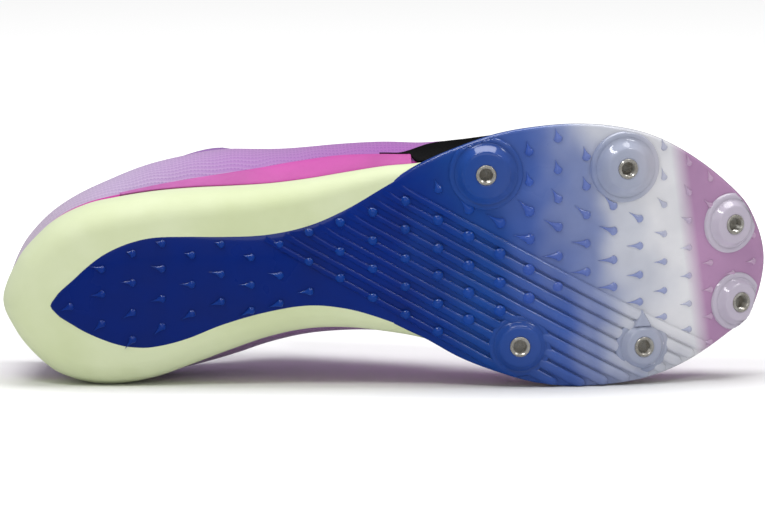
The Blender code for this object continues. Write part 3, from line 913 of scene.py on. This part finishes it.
# Head, tail and turn of a stud: round among the ribs, swept towards the heel beside them
def nubForm(x, y):
    heel = 1 - smoothStep(*nubs["heelZone"], x)
    ball = smoothStep(*nubs["ballFrom"], x) * (1 - smoothStep(*nubs["ballTo"], x))
    ball *= smoothStep(*nubs["ballSide"], y)
    toe = smoothStep(*nubs["toeZone"], x)
    head = mix(mix(mix(nubs["head"], nubs["heelHead"], heel), nubs["ballHead"], ball), nubs["toeHead"], toe)
    tail = mix(nubs["tail"] * mix(1.0, 0.55, smoothStep(-0.022, -0.034, y)), nubs["toeTail"], toe)
    tail = mix(tail, nubs["tail"] * mix(0.25, 0.75, smoothStep(-0.011, -0.003, y)), heel)
    if ribRise(x, y) > 0:
        tail = 0.0004
    swept = min(max((-0.010 - y) * 3000, 0), 75)
    hanging = -min(max((y - 0.002) * 3000, -15), 50)
    return head, tail, math.radians(mix(swept, hanging, heel))


def makeNubs():
    bm = bmesh.new()
    for row in nubs["rows"]:
        for across in row[1:]:
            x, y = row[0] * mm, across * mm
            head, tail, turned = nubForm(x, y)
            verts = bmesh.ops.create_uvsphere(bm, u_segments=24, v_segments=10, radius=1)["verts"]
            for v in verts:
                back = max(-v.co.x, 0)
                narrow = (1.0001 - back) ** 0.7 if tail > 0.001 else 1
                v.co = Vector((
                    v.co.x * head - back**3 * tail,
                    v.co.y * head * narrow,
                    v.co.z * head * nubs["flat"] * (1 - 0.35 * back * (tail > 0.001)),
                ))
            tilt = Matrix.Rotation(-math.atan(slopeAt(x)), 4, "Y")
            stand = lift(x) + curlAt(x, y) - ribRise(x, y)
            placed = Matrix.Translation((x, y, stand)) @ tilt @ Matrix.Rotation(turned, 4, "Z")
            bmesh.ops.transform(bm, matrix=placed, verts=verts)
    toRow(bm)
    makePiece("traction_studs", bm, nubPolymer, sharp=60)


nubStops = (
    (-140, (10, 46, 134)), (15, (14, 62, 150)), (45, (28, 74, 164)), (66, (60, 92, 180)),
    (84, (108, 126, 192)), (100, (152, 162, 204)), (118, (196, 198, 216)), (150, (200, 196, 214)),
)
nubPolymer = makePolymer("nubPolymer", nubStops, (200, 168, 198), 0.9)
makeNubs()
print("studs ready")

# Foam: a rounded side that wraps the heel and thins out to the forefoot
foam = {
    "height": 0.024,
    "ledge": 0.0006,
    "inset": 0.0015,
    "wall": 0.0016,
    "gap": 0.0003,
    "sideRows": (
        (0.00, 1.04), (0.10, 1.00), (0.20, 0.98), (0.30, 0.90), (0.40, 0.75), (0.50, 0.52),
        (0.58, 0.38), (0.70, 0.35), (1.00, 0.35),
    ),
    "bedRows": (
        (0.00, 0.80), (0.10, 0.79), (0.20, 0.77), (0.30, 0.71), (0.40, 0.58), (0.50, 0.40),
        (0.58, 0.29), (0.70, 0.27), (1.00, 0.27),
    ),
    "profile": (
        (0.37, 0.00), (0.24, 0.04), (0.12, 0.14), (0.03, 0.32), (0.00, 0.55), (0.01, 0.82),
        (0.03, 0.97), (0.05, 1.00),
    ),
    "values": {"Roughness": 0.62, "Sheen Weight": 0.12, "Specular IOR Level": 0.35},
}


def foamHeights(rows):
    ats, shares = zip(*foam[rows])
    return [foam["height"] * through(ats, shares, p.x / shoe["length"]) for p in foamLoop]


foamSides = foamHeights("sideRows")
foamBeds = foamHeights("bedRows")


def raised(loop, heights):
    return [Vector((p.x, p.y, h + lift(p.x))) for p, h in zip(loop, heights)]


def makeFoamLime():
    finish, tree, sockets, coords = newMaterial("foamLime", foam["values"])
    grain = grainOn(tree, coords, (0.0009, 0.030))
    shade = twoTones(tree, grain, ((218, 227, 187), (209, 219, 173)))
    # Painted light: the foam is painted a little paler towards the top of its wall, further back from the
    # sole's face, where its lateral flank faces up into the light
    deep = scaled(tree, partsOf(tree, coords)["Y"], -0.047, -0.030)
    give(tree, sockets["Base Color"], blendColour(tree, deep, shade, tone(216, 226, 188)))
    roughOn(tree, sockets, grain, "Height", 0.3, 0.7, 0.56, 0.70)
    bumpOn(tree, sockets, grain["Height"], 0.00006, 0.5)
    return finish


def makeFoam():
    bm = bmesh.new()
    rings = []
    for share, rise in foam["profile"]:
        loop = offsetLoop(foamLoop, [-share * s for s in foamSides])
        rings.append(raised(loop, [foam["ledge"] + rise * (s - foam["ledge"]) for s in foamSides]))
    rim = foam["inset"] + foam["wall"] + foam["gap"]
    rings.append(raised(offsetLoop(foamLoop, [-rim] * len(foamLoop)), foamSides))
    inner = offsetLoop(foamLoop, [-rim - (s - b) / 2 for s, b in zip(foamSides, foamBeds)])
    rings.append(raised(inner, foamBeds))
    closedLoft(bm, rings)
    toRow(bm)
    return makePiece("foam_midsole", bm, foamLime, ["midsole"], sharp=50)


foamLime = makeFoamLime()
makeFoam()
print("foam ready")

# Upper: sections of its wall, by the share of the way along each side from heel to toe
upperLook = {
    "collarWidth": 0.064,
    "heelHeight": 0.074,
    "instepHeight": 0.088,
    "wall": 0.0016,
    "gap": 0.0003,
    "throatEnd": 0.600,
    "columns": 152,
    "rows": 20,
}
sectionNames = ("at", "edgeX", "edgeZ", "half", "ridge", "shoulder", "drop", "lateral", "medial")
sectionRows = (
    (0.000, 0.024, 1.000, 0.000, -0.104, 0.00, 0.35, 0.020, 0.020),
    (0.045, 0.031, 0.990, 0.180, -0.104, 0.00, 0.35, 0.030, 0.030),
    (0.100, 0.058, 0.945, 0.300, -0.110, 0.00, 0.35, 0.060, 0.060),
    (0.180, 0.135, 0.800, 0.445, -0.060, 0.00, 0.35, 0.120, 0.085),
    (0.250, 0.215, 0.750, 0.502, -0.001, 0.05, 0.35, 0.175, 0.145),
    (0.310, 0.290, 0.835, 0.464, 0.055, 0.25, 0.25, 0.200, 0.205),
    (0.350, 0.338, 0.955, 0.320, 0.054, 0.45, 0.12, 0.210, 0.235),
    (0.380, 0.368, 0.985, 0.220, 0.038, 0.55, 0.08, 0.220, 0.245),
    (0.440, 0.436, 0.905, 0.195, 0.050, 0.62, 0.05, 0.210, 0.220),
    (0.500, 0.509, 0.810, 0.180, 0.058, 0.65, 0.04, 0.180, 0.160),
    (0.560, 0.575, 0.720, 0.135, 0.060, 0.68, 0.03, 0.140, 0.100),
    (0.600, 0.612, 0.665, 0.000, 0.058, 0.70, 0.02, 0.115, 0.080),
    (0.650, 0.672, 0.592, 0.000, 0.052, 0.72, 0.01, 0.090, 0.073),
    (0.710, 0.738, 0.530, 0.000, 0.042, 0.74, 0.01, 0.073, 0.073),
    (0.780, 0.807, 0.478, 0.000, 0.031, 0.75, 0.01, 0.073, 0.073),
    (0.850, 0.870, 0.427, 0.000, 0.026, 0.75, 0.01, 0.062, 0.062),
    (0.930, 0.924, 0.366, 0.000, 0.021, 0.70, 0.01, 0.052, 0.052),
    (1.000, 0.950, 0.300, 0.000, 0.021, 0.60, 0.01, 0.042, 0.042),
)
sections = {name: [row[k] for row in sectionRows] for k, name in enumerate(sectionNames)}
lateral, medial = -1, 1
featherLoop = offsetLoop(foamLoop, [-foam["inset"]] * len(foamLoop))
featherPoints = raised(featherLoop, [s + upperLook["gap"] for s in foamSides])
featherOut = [Vector((n.x, n.y, 0)) for n in outwardOf(foamLoop)]


@cache
def section(name, share):
    return through(sections["at"], sections[name], share)


@cache
def footOf(share, side):
    half = len(foamLoop) // 2
    at = share * half if side == lateral else (2 - share) * half
    k = min(int(at), 2 * half - 1)
    after = (k + 1) % (2 * half)
    part = at - k
    return featherPoints[k].lerp(featherPoints[after], part), featherOut[k].lerp(featherOut[after], part)


@cache
def rimPoint(share, side):
    x = section("edgeX", share) * shoe["length"]
    isOpen = share < upperLook["throatEnd"] - 1e-6
    half = max(section("half", share), 0) * upperLook["collarWidth"] if isOpen else 0
    tall = mix(upperLook["heelHeight"], upperLook["instepHeight"], smoothStep(0.10, 0.35, share))
    y = side * half - section("ridge", share) * shoe["ballWidth"]
    return Vector((x, y, section("edgeZ", share) * tall + lift(x)))


def bezier(a, b, c, d, t):
    return a * (1 - t) ** 3 + b * 3 * t * (1 - t) ** 2 + c * 3 * t**2 * (1 - t) + d * t**3


# A point of the wall, from the foam (climb 0) to the rim (climb 1)
def wallPoint(share, side, climb):
    foot, out = footOf(share, side)
    rim = rimPoint(share, side)
    rise = Vector((0, 0, rim.z - foot.z))
    bow = section("lateral" if side == lateral else "medial", share) * shoe["ballWidth"]
    reach = Vector((foot.x - rim.x, foot.y - rim.y, 0))
    low = foot + rise * 0.45 + out * bow
    high = rim + reach * section("shoulder", share) - rise * section("drop", share)
    return bezier(foot, low, high, rim, climb)


# Soft creases of the knit: place, the climbs where each ends, its slant, half width and depth
creases = (
    (0.655, 0.18, 0.72, 0.050, 0.0100, -0.0007), (0.690, 0.14, 0.66, 0.060, 0.0085, 0.0005),
    (0.725, 0.16, 0.70, 0.045, 0.0095, -0.0006), (0.760, 0.20, 0.60, 0.030, 0.0080, 0.0004),
    (0.330, 0.20, 0.62, -0.040, 0.0150, 0.0006), (0.290, 0.22, 0.66, -0.050, 0.0120, -0.0006),
    (0.215, 0.25, 0.70, -0.030, 0.0140, 0.0005), (0.120, 0.30, 0.75, 0.020, 0.0150, -0.0005),
)


def creaseAt(share, climb):
    found = 0
    for at, low, high, slant, width, depth in creases:
        if low < climb < high:
            away = (share - at - slant * (climb - 0.45)) * shoe["length"] / width
            found += depth * math.exp(-away * away) * math.sin(math.pi * (climb - low) / (high - low)) ** 2
    return found


def wallOut(share, side, climb):
    step = 0.004
    along = wallPoint(min(share + step, 1), side, climb) - wallPoint(max(share - step, 0), side, climb)
    up = wallPoint(share, side, min(climb + step, 1)) - wallPoint(share, side, max(climb - step, 0))
    normal = along.cross(up) * -side
    return normal.normalized() if normal.length > 0 else footOf(share, side)[1]


# A grid that the function shape(u, v) bends into a sheet, with u and v kept as its UV map
def sheetGrid(columns, rows, shape, uvOf, uvName="girth"):
    bm = bmesh.new()
    bmesh.ops.create_grid(bm, x_segments=columns, y_segments=rows, size=0.5)
    layer = bm.loops.layers.uv.new(uvName)
    for f in bm.faces:
        for loop in f.loops:
            loop[layer].uv = uvOf(loop.vert.co.x + 0.5, loop.vert.co.y + 0.5)
    for v in bm.verts:
        v.co = shape(v.co.x + 0.5, v.co.y + 0.5)
    return bm


def thicken(piece, wall, inner=0, rim=0):
    made = piece.modifiers.new("wall", "SOLIDIFY")
    made.thickness = wall
    made.offset = -1
    made.use_even_offset = True
    made.material_offset = inner
    made.material_offset_rim = rim


def soften(piece, levels):
    made = piece.modifiers.new("smooth", "SUBSURF")
    made.levels = levels
    made.render_levels = levels


# Knit: slanting lines that sway, dots between them, a pink foot line and a darker collar edge
knitLook = {
    "values": {
        "Roughness": 0.72,
        "Sheen Weight": 0.35,
        "Sheen Roughness": 0.4,
        "Specular IOR Level": 0.3,
    },
    "heelToBall": (
        (0.0, (184, 166, 188)), (0.30, (182, 160, 196)), (0.6, (172, 126, 186)), (1.0, (164, 96, 176)),
    ),
    "lines": 30.0,
    "lineFall": 26.0,
    "dotPitch": 0.0013,
    "footLine": 0.030,
}


def makeUpperKnit():
    finish, tree, sockets, coords = newMaterial("upperKnit", knitLook["values"])
    girth = uvOn(tree, "girth")
    along, climb = girth["X"], girth["Y"]
    wave = calc(tree, "MULTIPLY", calc(tree, "SINE", calc(tree, "MULTIPLY", along, 420.0)), 0.22)
    swayed = calc(tree, "MULTIPLY_ADD", noiseOn(tree, coords, 60.0, 1.0), 1.3, wave)
    falling = calc(tree, "MULTIPLY_ADD", along, knitLook["lineFall"], swayed)
    lineAt = calc(tree, "MULTIPLY_ADD", climb, knitLook["lines"], falling)
    line = scaled(tree, calc(tree, "PINGPONG", lineAt, 0.5), 0.13, 0.02)
    dots = useGroup(tree, weaveGroup, {
        "Along": calc(tree, "DIVIDE", along, knitLook["dotPitch"] / 2),
        "Across": calc(tree, "MULTIPLY", lineAt, 2.0),
    })
    heelToBall = scaled(tree, partsOf(tree, coords)["X"], -0.137, 0.0)
    body = rampOf(tree, heelToBall, knitLook["heelToBall"], "LINEAR")
    dark = blendColour(tree, 1.0, body, (0.62, 0.55, 0.74, 1), "MULTIPLY")
    pale = blendColour(tree, 0.55, body, tone(232, 214, 238))
    dotted = calc(tree, "MULTIPLY", dots["Gap"], scaled(tree, heelToBall, 0.0, 0.5, 0.15, 0.5))
    fading = scaled(tree, heelToBall, 0.85, 0.40, 0.0, 0.6)
    knit = blendColour(tree, dotted, body, dark)
    lined = blendColour(tree, calc(tree, "MULTIPLY", line, fading), knit, pale)
    foot = scaled(tree, climb, knitLook["footLine"] + 0.008, knitLook["footLine"])
    seamed = blendColour(tree, foot, lined, tone(196, 60, 158))
    collar = scaled(tree, along, 0.205, 0.200)
    top = calc(tree, "MULTIPLY", scaled(tree, climb, 0.945, 0.965), collar)
    give(tree, sockets["Base Color"], blendColour(tree, top, seamed, tone(120, 72, 140)))
    bumpOn(tree, sockets, calc(tree, "MULTIPLY_ADD", line, 0.6, dots["Height"]), 0.00022, 0.55)
    give(tree, sockets["Roughness"], scaled(tree, line, 0, 1, 0.78, 0.6))
    return finish


def liningThreads(tree, coords):
    spot = partsOf(tree, coords)
    across = calc(tree, "ADD", spot["Y"], spot["Z"])
    return calc(tree, "DIVIDE", spot["X"], 0.0009), calc(tree, "DIVIDE", across, 0.0009)


# Round trip of the wall: heel, lateral side, toe, medial side
def roundTrip(u):
    return (2 * u, lateral) if u <= 0.5 else (2 - 2 * u, medial)


def makeUpper():
    sideRun = 0.5 * runOf(foamLoop)[-1]

    def shape(u, v):
        share, side = roundTrip(u)
        crease = creaseAt(share, v)
        point = wallPoint(share, side, v)
        return point + wallOut(share, side, v) * crease if abs(crease) > 1e-5 else point

    def uvOf(u, v):
        return roundTrip(u)[0] * sideRun, v

    bm = sheetGrid(upperLook["columns"], upperLook["rows"], shape, uvOf)
    bmesh.ops.remove_doubles(bm, verts=bm.verts, dist=2e-6)
    toRow(bm)
    bmesh.ops.recalc_face_normals(bm, faces=bm.faces)
    piece = makePiece("upper_shell", bm, upperKnit, ["upper"], sharp=180, recalc=False)
    piece.data.materials.append(liningCloth)
    thicken(piece, upperLook["wall"], inner=1)
    soften(piece, 1)


upperKnit = makeUpperKnit()
liningCloth = makeWoven("liningCloth", {
    "values": {"Roughness": 0.9, "Sheen Weight": 0.3},
    "grain": (0.0006, 0.02),
    "tones": ((126, 92, 150), (104, 72, 132)),
    "gapShare": 0.6,
    "gap": (62, 40, 84),
    "bump": (0.0002, 0.6),
}, liningThreads)
makeUpper()
print("upper ready")

# Overlays on the lateral wall: the foam wedge and the black film in front of it
overlay = {
    "wedgeRun": (0.190, 0.525),
    "wedgeClimb": 0.100,
    "wedgeLow": 0.010,
    "wedgeFall": 0.40,
    "filmRun": (0.490, 0.700),
    "filmClimb": 0.160,
    "thickness": 0.0010,
    "stand": 0.00045,
    "under": -0.006,
    "wedgeTones": ((0.0, (186, 96, 172)), (0.5, (196, 70, 164)), (1.0, (190, 66, 158))),
}


def makeWedgeFoam():
    values = {"Roughness": 0.5, "Sheen Weight": 0.15, "Specular IOR Level": 0.4}
    finish, tree, sockets, coords = newMaterial("wedgeFoam", values)
    grain = grainOn(tree, coords, (0.0007, 0.018))
    forward = scaled(tree, partsOf(tree, coords)["X"], -0.10, 0.012)
    body = rampOf(tree, forward, overlay["wedgeTones"], "LINEAR")
    deeper = blendColour(tree, 1.0, body, (0.86, 0.80, 0.86, 1), "MULTIPLY")
    give(tree, sockets["Base Color"], blendColour(tree, grain["Mottle"], body, deeper))
    roughOn(tree, sockets, grain, "Height", 0.3, 0.7, 0.44, 0.6)
    bumpOn(tree, sockets, grain["Height"], 0.00005, 0.5)
    return finish


# A strip of the lateral wall between two climbs, standing a little off the knit
def wallStrip(run, low, high, columns):
    stand = overlay["stand"] + overlay["thickness"]

    def shape(u, v):
        share = mix(run[0], run[1], u)
        climb = mix(low(share), high(share), v)
        return wallPoint(share, lateral, climb) + footOf(share, lateral)[1] * stand

    return sheetGrid(columns, 6, shape, lambda u, v: (u, v))


def finishStrip(name, bm, finish, replaced):
    toRow(bm)
    bmesh.ops.recalc_face_normals(bm, faces=bm.faces)
    middle = bm.faces[:][len(bm.faces) // 2]
    if (rowToShoe.to_3x3() @ middle.normal).y > 0:
        bmesh.ops.reverse_faces(bm, faces=bm.faces)
    piece = makePiece(name, bm, finish, replaced, sharp=180, recalc=False)
    thicken(piece, overlay["thickness"])
    rounded = piece.modifiers.new("rounded", "BEVEL")
    rounded.width = overlay["thickness"] * 0.4
    rounded.segments = 2
    rounded.limit_method = "ANGLE"
    rounded.angle_limit = math.radians(50)


def makeOverlays():
    def wedgeTop(share):
        grown = smoothStep(overlay["wedgeRun"][0] - 0.03, 0.43, share)
        fallen = overlay["wedgeFall"] * smoothStep(0.43, overlay["wedgeRun"][1], share)
        return mix(overlay["wedgeLow"], overlay["wedgeClimb"], grown) * (1 - fallen)

    def filmLow(share):
        return mix(wedgeTop(share) + 0.004, 0.004, smoothStep(0.522, 0.532, share))

    def filmTop(share):
        grown = smoothStep(overlay["filmRun"][0] + 0.015, 0.560, share)
        fallen = 0.7 * smoothStep(0.54, overlay["filmRun"][1], share)
        top = mix(wedgeTop(share) + 0.008, overlay["filmClimb"], grown) * (1 - fallen)
        return max(top, filmLow(share) + 0.006)

    wedge = wallStrip(overlay["wedgeRun"], lambda share: overlay["under"], wedgeTop, 64)
    finishStrip("side_wedge_foam", wedge, wedgeFoam, ["side_wedge"])
    film = wallStrip(overlay["filmRun"], filmLow, filmTop, 60)
    finishStrip("rand_band", film, randFilm, ["forefoot_rand"])


wedgeFoam = makeWedgeFoam()
randFilm = makeMoulded("randFilm", {
    "values": {"Roughness": 0.8, "Specular IOR Level": 0.06},
    "grain": (0.0005, 0.010),
    "tones": ((10, 10, 12), (4, 4, 5)),
    "rough": ("Height", 0.3, 0.7, 0.5, 0.7),
    "bump": (0.00006, 0.6),
})
makeOverlays()
print("overlays ready")


# A path over the instep from the lateral wall to the medial one, bridging the throat, with the
# length up to each of its points, its middle and half the throat's gap
@cache
def archOver(share):
    climbs = [mix(0.45, 1, k / 39) for k in range(40)]
    path, other = ([wallPoint(share, side, climb) for climb in climbs] for side in (lateral, medial))
    reach = (other[-1] - path[-1]).length / 3
    leaving, arriving = (side[-1] + (side[-1] - side[-3]).normalized() * reach for side in (path, other))
    bridge = [bezier(path[-1], leaving, arriving, other[-1], k / 21) for k in range(1, 21)]
    whole = path + bridge + other[::-1]
    run = runOf(whole)
    return whole, run, (run[39] + run[-40]) / 2, (run[-40] - run[39]) / 2


# A point over the instep at a signed distance from its middle, the medial side positive
def acrossAt(share, reach):
    whole, run, middle, halfGap = archOver(share)
    want = min(max(middle + reach, 0), run[-1] - 1e-9)
    k = next(i for i in range(len(run) - 1) if want <= run[i + 1])
    return whole[k].lerp(whole[k + 1], (want - run[k]) / max(run[k + 1] - run[k], 1e-9)), halfGap


# Tongue: a thin padded cloth under the throat, which stands above the collar
tongue = {
    "top": 0.362,
    "front": 0.660,
    "width": 0.042,
    "rise": 0.018,
    "riseShare": 0.14,
    "lean": (28, 38),
    "topWidth": 0.73,
    "cornerRound": 0.42,
    "sink": 0.0008,
    "wall": 0.0018,
    "columns": 20,
    "rows": 40,
}


def tongueThreads(tree, coords):
    spread = uvOn(tree, "spread")
    return calc(tree, "MULTIPLY", spread["X"], 64.0), calc(tree, "MULTIPLY", spread["Y"], 150.0)


# The bound edge of the tongue: both sides and the top
def tongueEdge(tree):
    spread = uvOn(tree, "spread")
    aside = calc(tree, "ABSOLUTE", calc(tree, "SUBTRACT", spread["X"], 0.5))
    return calc(tree, "MAXIMUM", scaled(tree, aside, 0.44, 0.455), scaled(tree, spread["Y"], 0.035, 0.025))


def makeTongue():
    span = tongue["front"] - tongue["top"]
    rise = tongue["riseShare"]

    def flatRow(share, u):
        width = tongue["width"] * (1 - 0.3 * smoothStep(tongue["top"], tongue["front"], share))
        return acrossAt(share, (u - 0.5) * width)[0]

    def shape(u, v):
        if v >= rise:
            return flatRow(round(tongue["top"] + span * (v - rise) / (1 - rise), 6), u)
        middle, spot = flatRow(tongue["top"], 0.5), flatRow(tongue["top"], u)
        out = (rise - v) / rise
        angle = math.radians(mix(*tongue["lean"], out))
        narrow = mix(1.0, tongue["topWidth"], out**1.4)
        narrow *= 1 - max((out - 0.8) / 0.2, 0) ** 2 * tongue["cornerRound"]
        shift = Vector((-math.cos(angle), 0, math.sin(angle))) * tongue["rise"] * out
        across = spot - middle
        return middle + Vector((across.x, across.y * narrow, across.z)) + shift

    bm = sheetGrid(tongue["columns"], tongue["rows"], shape, lambda u, v: (u, v), "spread")
    bm.normal_update()
    for f in bm.faces:
        if f.normal.z < 0:
            f.normal_flip()
    bm.normal_update()
    for v in bm.verts:
        v.co -= v.normal * (upperLook["wall"] + tongue["sink"])
    toRow(bm)
    piece = makePiece("tongue_cloth", bm, tongueCloth, ["tongue"], sharp=180, recalc=False)
    thicken(piece, tongue["wall"])
    soften(piece, 1)


tongueCloth = makeWoven("tongueCloth", {
    "values": {"Roughness": 0.85, "Sheen Weight": 0.4, "Sheen Roughness": 0.5},
    "grain": (0.0006, 0.015),
    "tones": ((176, 128, 200), (160, 110, 188)),
    "gapShare": 0.7,
    "gap": (104, 62, 136),
    "edge": (118, 70, 146),
    "bump": (0.0002, 0.6),
}, tongueThreads, tongueEdge)
makeTongue()
print("tongue ready")

# Insole: a thin cloth-covered board on the foam's bed
insole = {
    "thickness": 0.0030,
    "inset": 0.0012,
    "gap": 0.0003,
    "round": 0.0010,
    "profile": ((0.0, 0.0), (0.0, 0.6), (0.15, 0.85), (0.5, 0.97), (1.0, 1.0), (2.0, 1.0)),
}


def insoleThreads(tree, coords):
    spot = partsOf(tree, coords)
    return calc(tree, "DIVIDE", spot["X"], 0.0008), calc(tree, "DIVIDE", spot["Z"], 0.0008)


def makeInsole():
    bm = bmesh.new()
    beds = [b + insole["gap"] for b in foamBeds]
    edge = foam["inset"] + foam["wall"] + 2 * foam["gap"] + insole["inset"]
    insets = [edge + (s - b) / 2 for s, b in zip(foamSides, beds)]
    rings = []
    for more, rise in insole["profile"]:
        loop = offsetLoop(foamLoop, [-i - more * insole["round"] for i in insets])
        rings.append(raised(loop, [b + rise * insole["thickness"] for b in beds]))
    closedLoft(bm, rings)
    toRow(bm)
    makePiece("insole_board", bm, insoleCloth, ["insole"], sharp=60)


insoleCloth = makeWoven("insoleCloth", {
    "values": {"Roughness": 0.9, "Sheen Weight": 0.25},
    "grain": (0.0005, 0.025),
    "tones": ((150, 142, 162), (128, 118, 144)),
    "gapShare": 0.5,
    "gap": (90, 82, 108),
    "bump": (0.00015, 0.5),
}, insoleThreads)
makeInsole()
print("insole ready")

# Flat woven lace through six pairs of punched eyelets; its ends are hidden at the top pair
lace = {
    "run": (0.385, 0.575),
    "pairs": 6,
    "margin": 0.0065,
    "width": 0.0046,
    "thickness": 0.0011,
    "stand": 0.0018,
    "dive": 0.0030,
    "steps": 26,
    "eyelet": 0.0022,
    "eyeletProfile": (
        (0.0, -0.0009), (0.80, -0.0009), (0.84, 0.0001), (1.0, 0.0004), (1.25, 0.0002),
        (1.3, -0.0006), (0.0, -0.0012),
    ),
}


def lacePoint(share, across):
    halfGap = acrossAt(round(share, 6), 0)[1]
    return acrossAt(round(share, 6), across * (halfGap + lace["margin"]))[0]


def laceNormal(share, across):
    here = lacePoint(share, across)
    ahead = lacePoint(share + 0.004, across) - here
    beside = lacePoint(share, min(across + 0.02, 1.3)) - here
    normal = ahead.cross(beside).normalized()
    return normal if normal.z > 0 else -normal


# The lace's threads slant to both sides from its middle
def laceThreads(tree, coords):
    spread = uvOn(tree, "spread")
    lean = calc(tree, "ABSOLUTE", calc(tree, "SUBTRACT", spread["Y"], 0.5))
    return calc(tree, "MULTIPLY_ADD", lean, 5.0, spread["X"]), calc(tree, "MULTIPLY", spread["Y"], 16.0)


strapCorners = (
    (-1, 0), (-0.86, 0.8), (-0.45, 1), (0.45, 1), (0.86, 0.8), (1, 0), (0.86, -0.8), (0.45, -1),
    (-0.45, -1), (-0.86, -0.8),
)


# A flat strap with rounded sides along a path, closed at both ends
def strapAlong(bm, layer, path, normals, width, thickness):
    rings, sides = [], []
    for k, point in enumerate(path):
        along = (path[min(k + 1, len(path) - 1)] - path[max(k - 1, 0)]).normalized()
        beside = along.cross(normals[k]).normalized()
        above = beside.cross(along)
        sides.append(beside)
        rings.append([point + beside * a * width / 2 + above * b * thickness / 2 for a, b in strapCorners])
    before = set(bm.faces)
    first, last = loft(bm, rings)
    bm.faces.new(first)
    bm.faces.new(last)
    run = runOf(path)
    for f in set(bm.faces) - before:
        for loop in f.loops:
            k = min(range(len(path)), key=lambda i: (path[i] - loop.vert.co).length_squared)
            offset = (loop.vert.co - path[k]).dot(sides[k])
            loop[layer].uv = (run[k] / 0.0009, 0.5 + offset / width)


def laceBar(bm, layer, start, end, hop):
    path, normals = [], []
    for k in range(lace["steps"] + 1):
        t = k / lace["steps"]
        share, across = mix(start[0], end[0], t), mix(start[1], end[1], t)
        normal = laceNormal(share, across)
        stand = lace["stand"] + hop * math.sin(math.pi * t) ** 2
        ends = min(t, 1 - t)
        if ends < 0.06:
            stand -= (1 - ends / 0.06) * lace["dive"]
        path.append(lacePoint(share, across) + normal * stand)
        normals.append(normal)
    strapAlong(bm, layer, path, normals, lace["width"], lace["thickness"])


def makeLace():
    bm = bmesh.new()
    layer = bm.loops.layers.uv.new("spread")
    first, last = lace["run"]
    rows = [mix(first, last, k / (lace["pairs"] - 1)) for k in range(lace["pairs"])]
    laceBar(bm, layer, (rows[-1], lateral), (rows[-1], medial), 0)
    for k in range(lace["pairs"] - 1):
        for side in (lateral, medial):
            over = (k % 2 == 0) == (side == lateral)
            laceBar(bm, layer, (rows[k], side), (rows[k + 1], -side), 0.0010 if over else -0.0003)
    toRow(bm)
    makePiece("flat_lace", bm, laceWeave, ["lace"], sharp=60)
    return rows


def makeEyelets(rows):
    bm = bmesh.new()
    for share in rows:
        for side in (lateral, medial):
            spot, normal = lacePoint(share, side), laceNormal(share, side)
            one = bmesh.new()
            spun(one, [(r * lace["eyelet"], z) for r, z in lace["eyeletProfile"]], 20, False)
            turn = Vector((0, 0, 1)).rotation_difference(normal).to_matrix().to_4x4()
            bmesh.ops.transform(one, matrix=Matrix.Translation(spot) @ turn, verts=one.verts)
            addTo(bm, one)
    toRow(bm)
    makePiece("eyelets", bm, eyeletFilm, sharp=40)


laceWeave = makeWoven("laceWeave", {
    "values": {"Roughness": 0.8, "Sheen Weight": 0.3},
    "grain": (0.0004, 0.008),
    "tones": ((226, 216, 234), (208, 196, 222)),
    "gapShare": 0.6,
    "gap": (150, 134, 170),
    "bump": (0.00018, 0.7),
}, laceThreads)
eyeletFilm = makeMoulded("eyeletFilm", {
    "values": {"Roughness": 0.45},
    "grain": (0.0005, 0.006),
    "tones": ((104, 60, 128), (84, 46, 108)),
    "bump": (0.00004, 0.5),
})
makeEyelets(makeLace())
print("lace ready")

# Binding round the collar and the throat
binding = {"width": 0.0030, "overWall": 0.0014, "sink": 0.0006, "steps": 70}


def bindingThreads(tree, coords):
    spread = uvOn(tree, "spread")
    return spread["X"], calc(tree, "MULTIPLY", spread["Y"], 8.0)


def makeBinding():
    bm = bmesh.new()
    layer = bm.loops.layers.uv.new("spread")
    shares = [upperLook["throatEnd"] * k / binding["steps"] for k in range(binding["steps"] + 1)]
    trip = [(s, lateral) for s in shares[::-1]] + [(s, medial) for s in shares[1:]]
    path, normals = [], []
    for share, side in trip:
        share = min(share, upperLook["throatEnd"] - 0.002)
        rim = wallPoint(share, side, 1)
        up = (rim - wallPoint(share, side, 0.985)).normalized()
        path.append(rim - wallOut(share, side, 0.97) * upperLook["wall"] * 0.5 - up * binding["sink"])
        normals.append(up)
    strapAlong(bm, layer, path, normals, upperLook["wall"] + binding["overWall"], binding["width"])
    toRow(bm)
    makePiece("collar_binding", bm, bindingCloth, sharp=60)


bindingCloth = makeWoven("bindingCloth", {
    "values": {"Roughness": 0.8, "Sheen Weight": 0.4},
    "grain": (0.0004, 0.012),
    "tones": ((142, 92, 166), (124, 76, 150)),
    "gapShare": 0.6,
    "gap": (78, 44, 104),
    "bump": (0.00015, 0.6),
}, bindingThreads)
makeBinding()
print("binding ready")
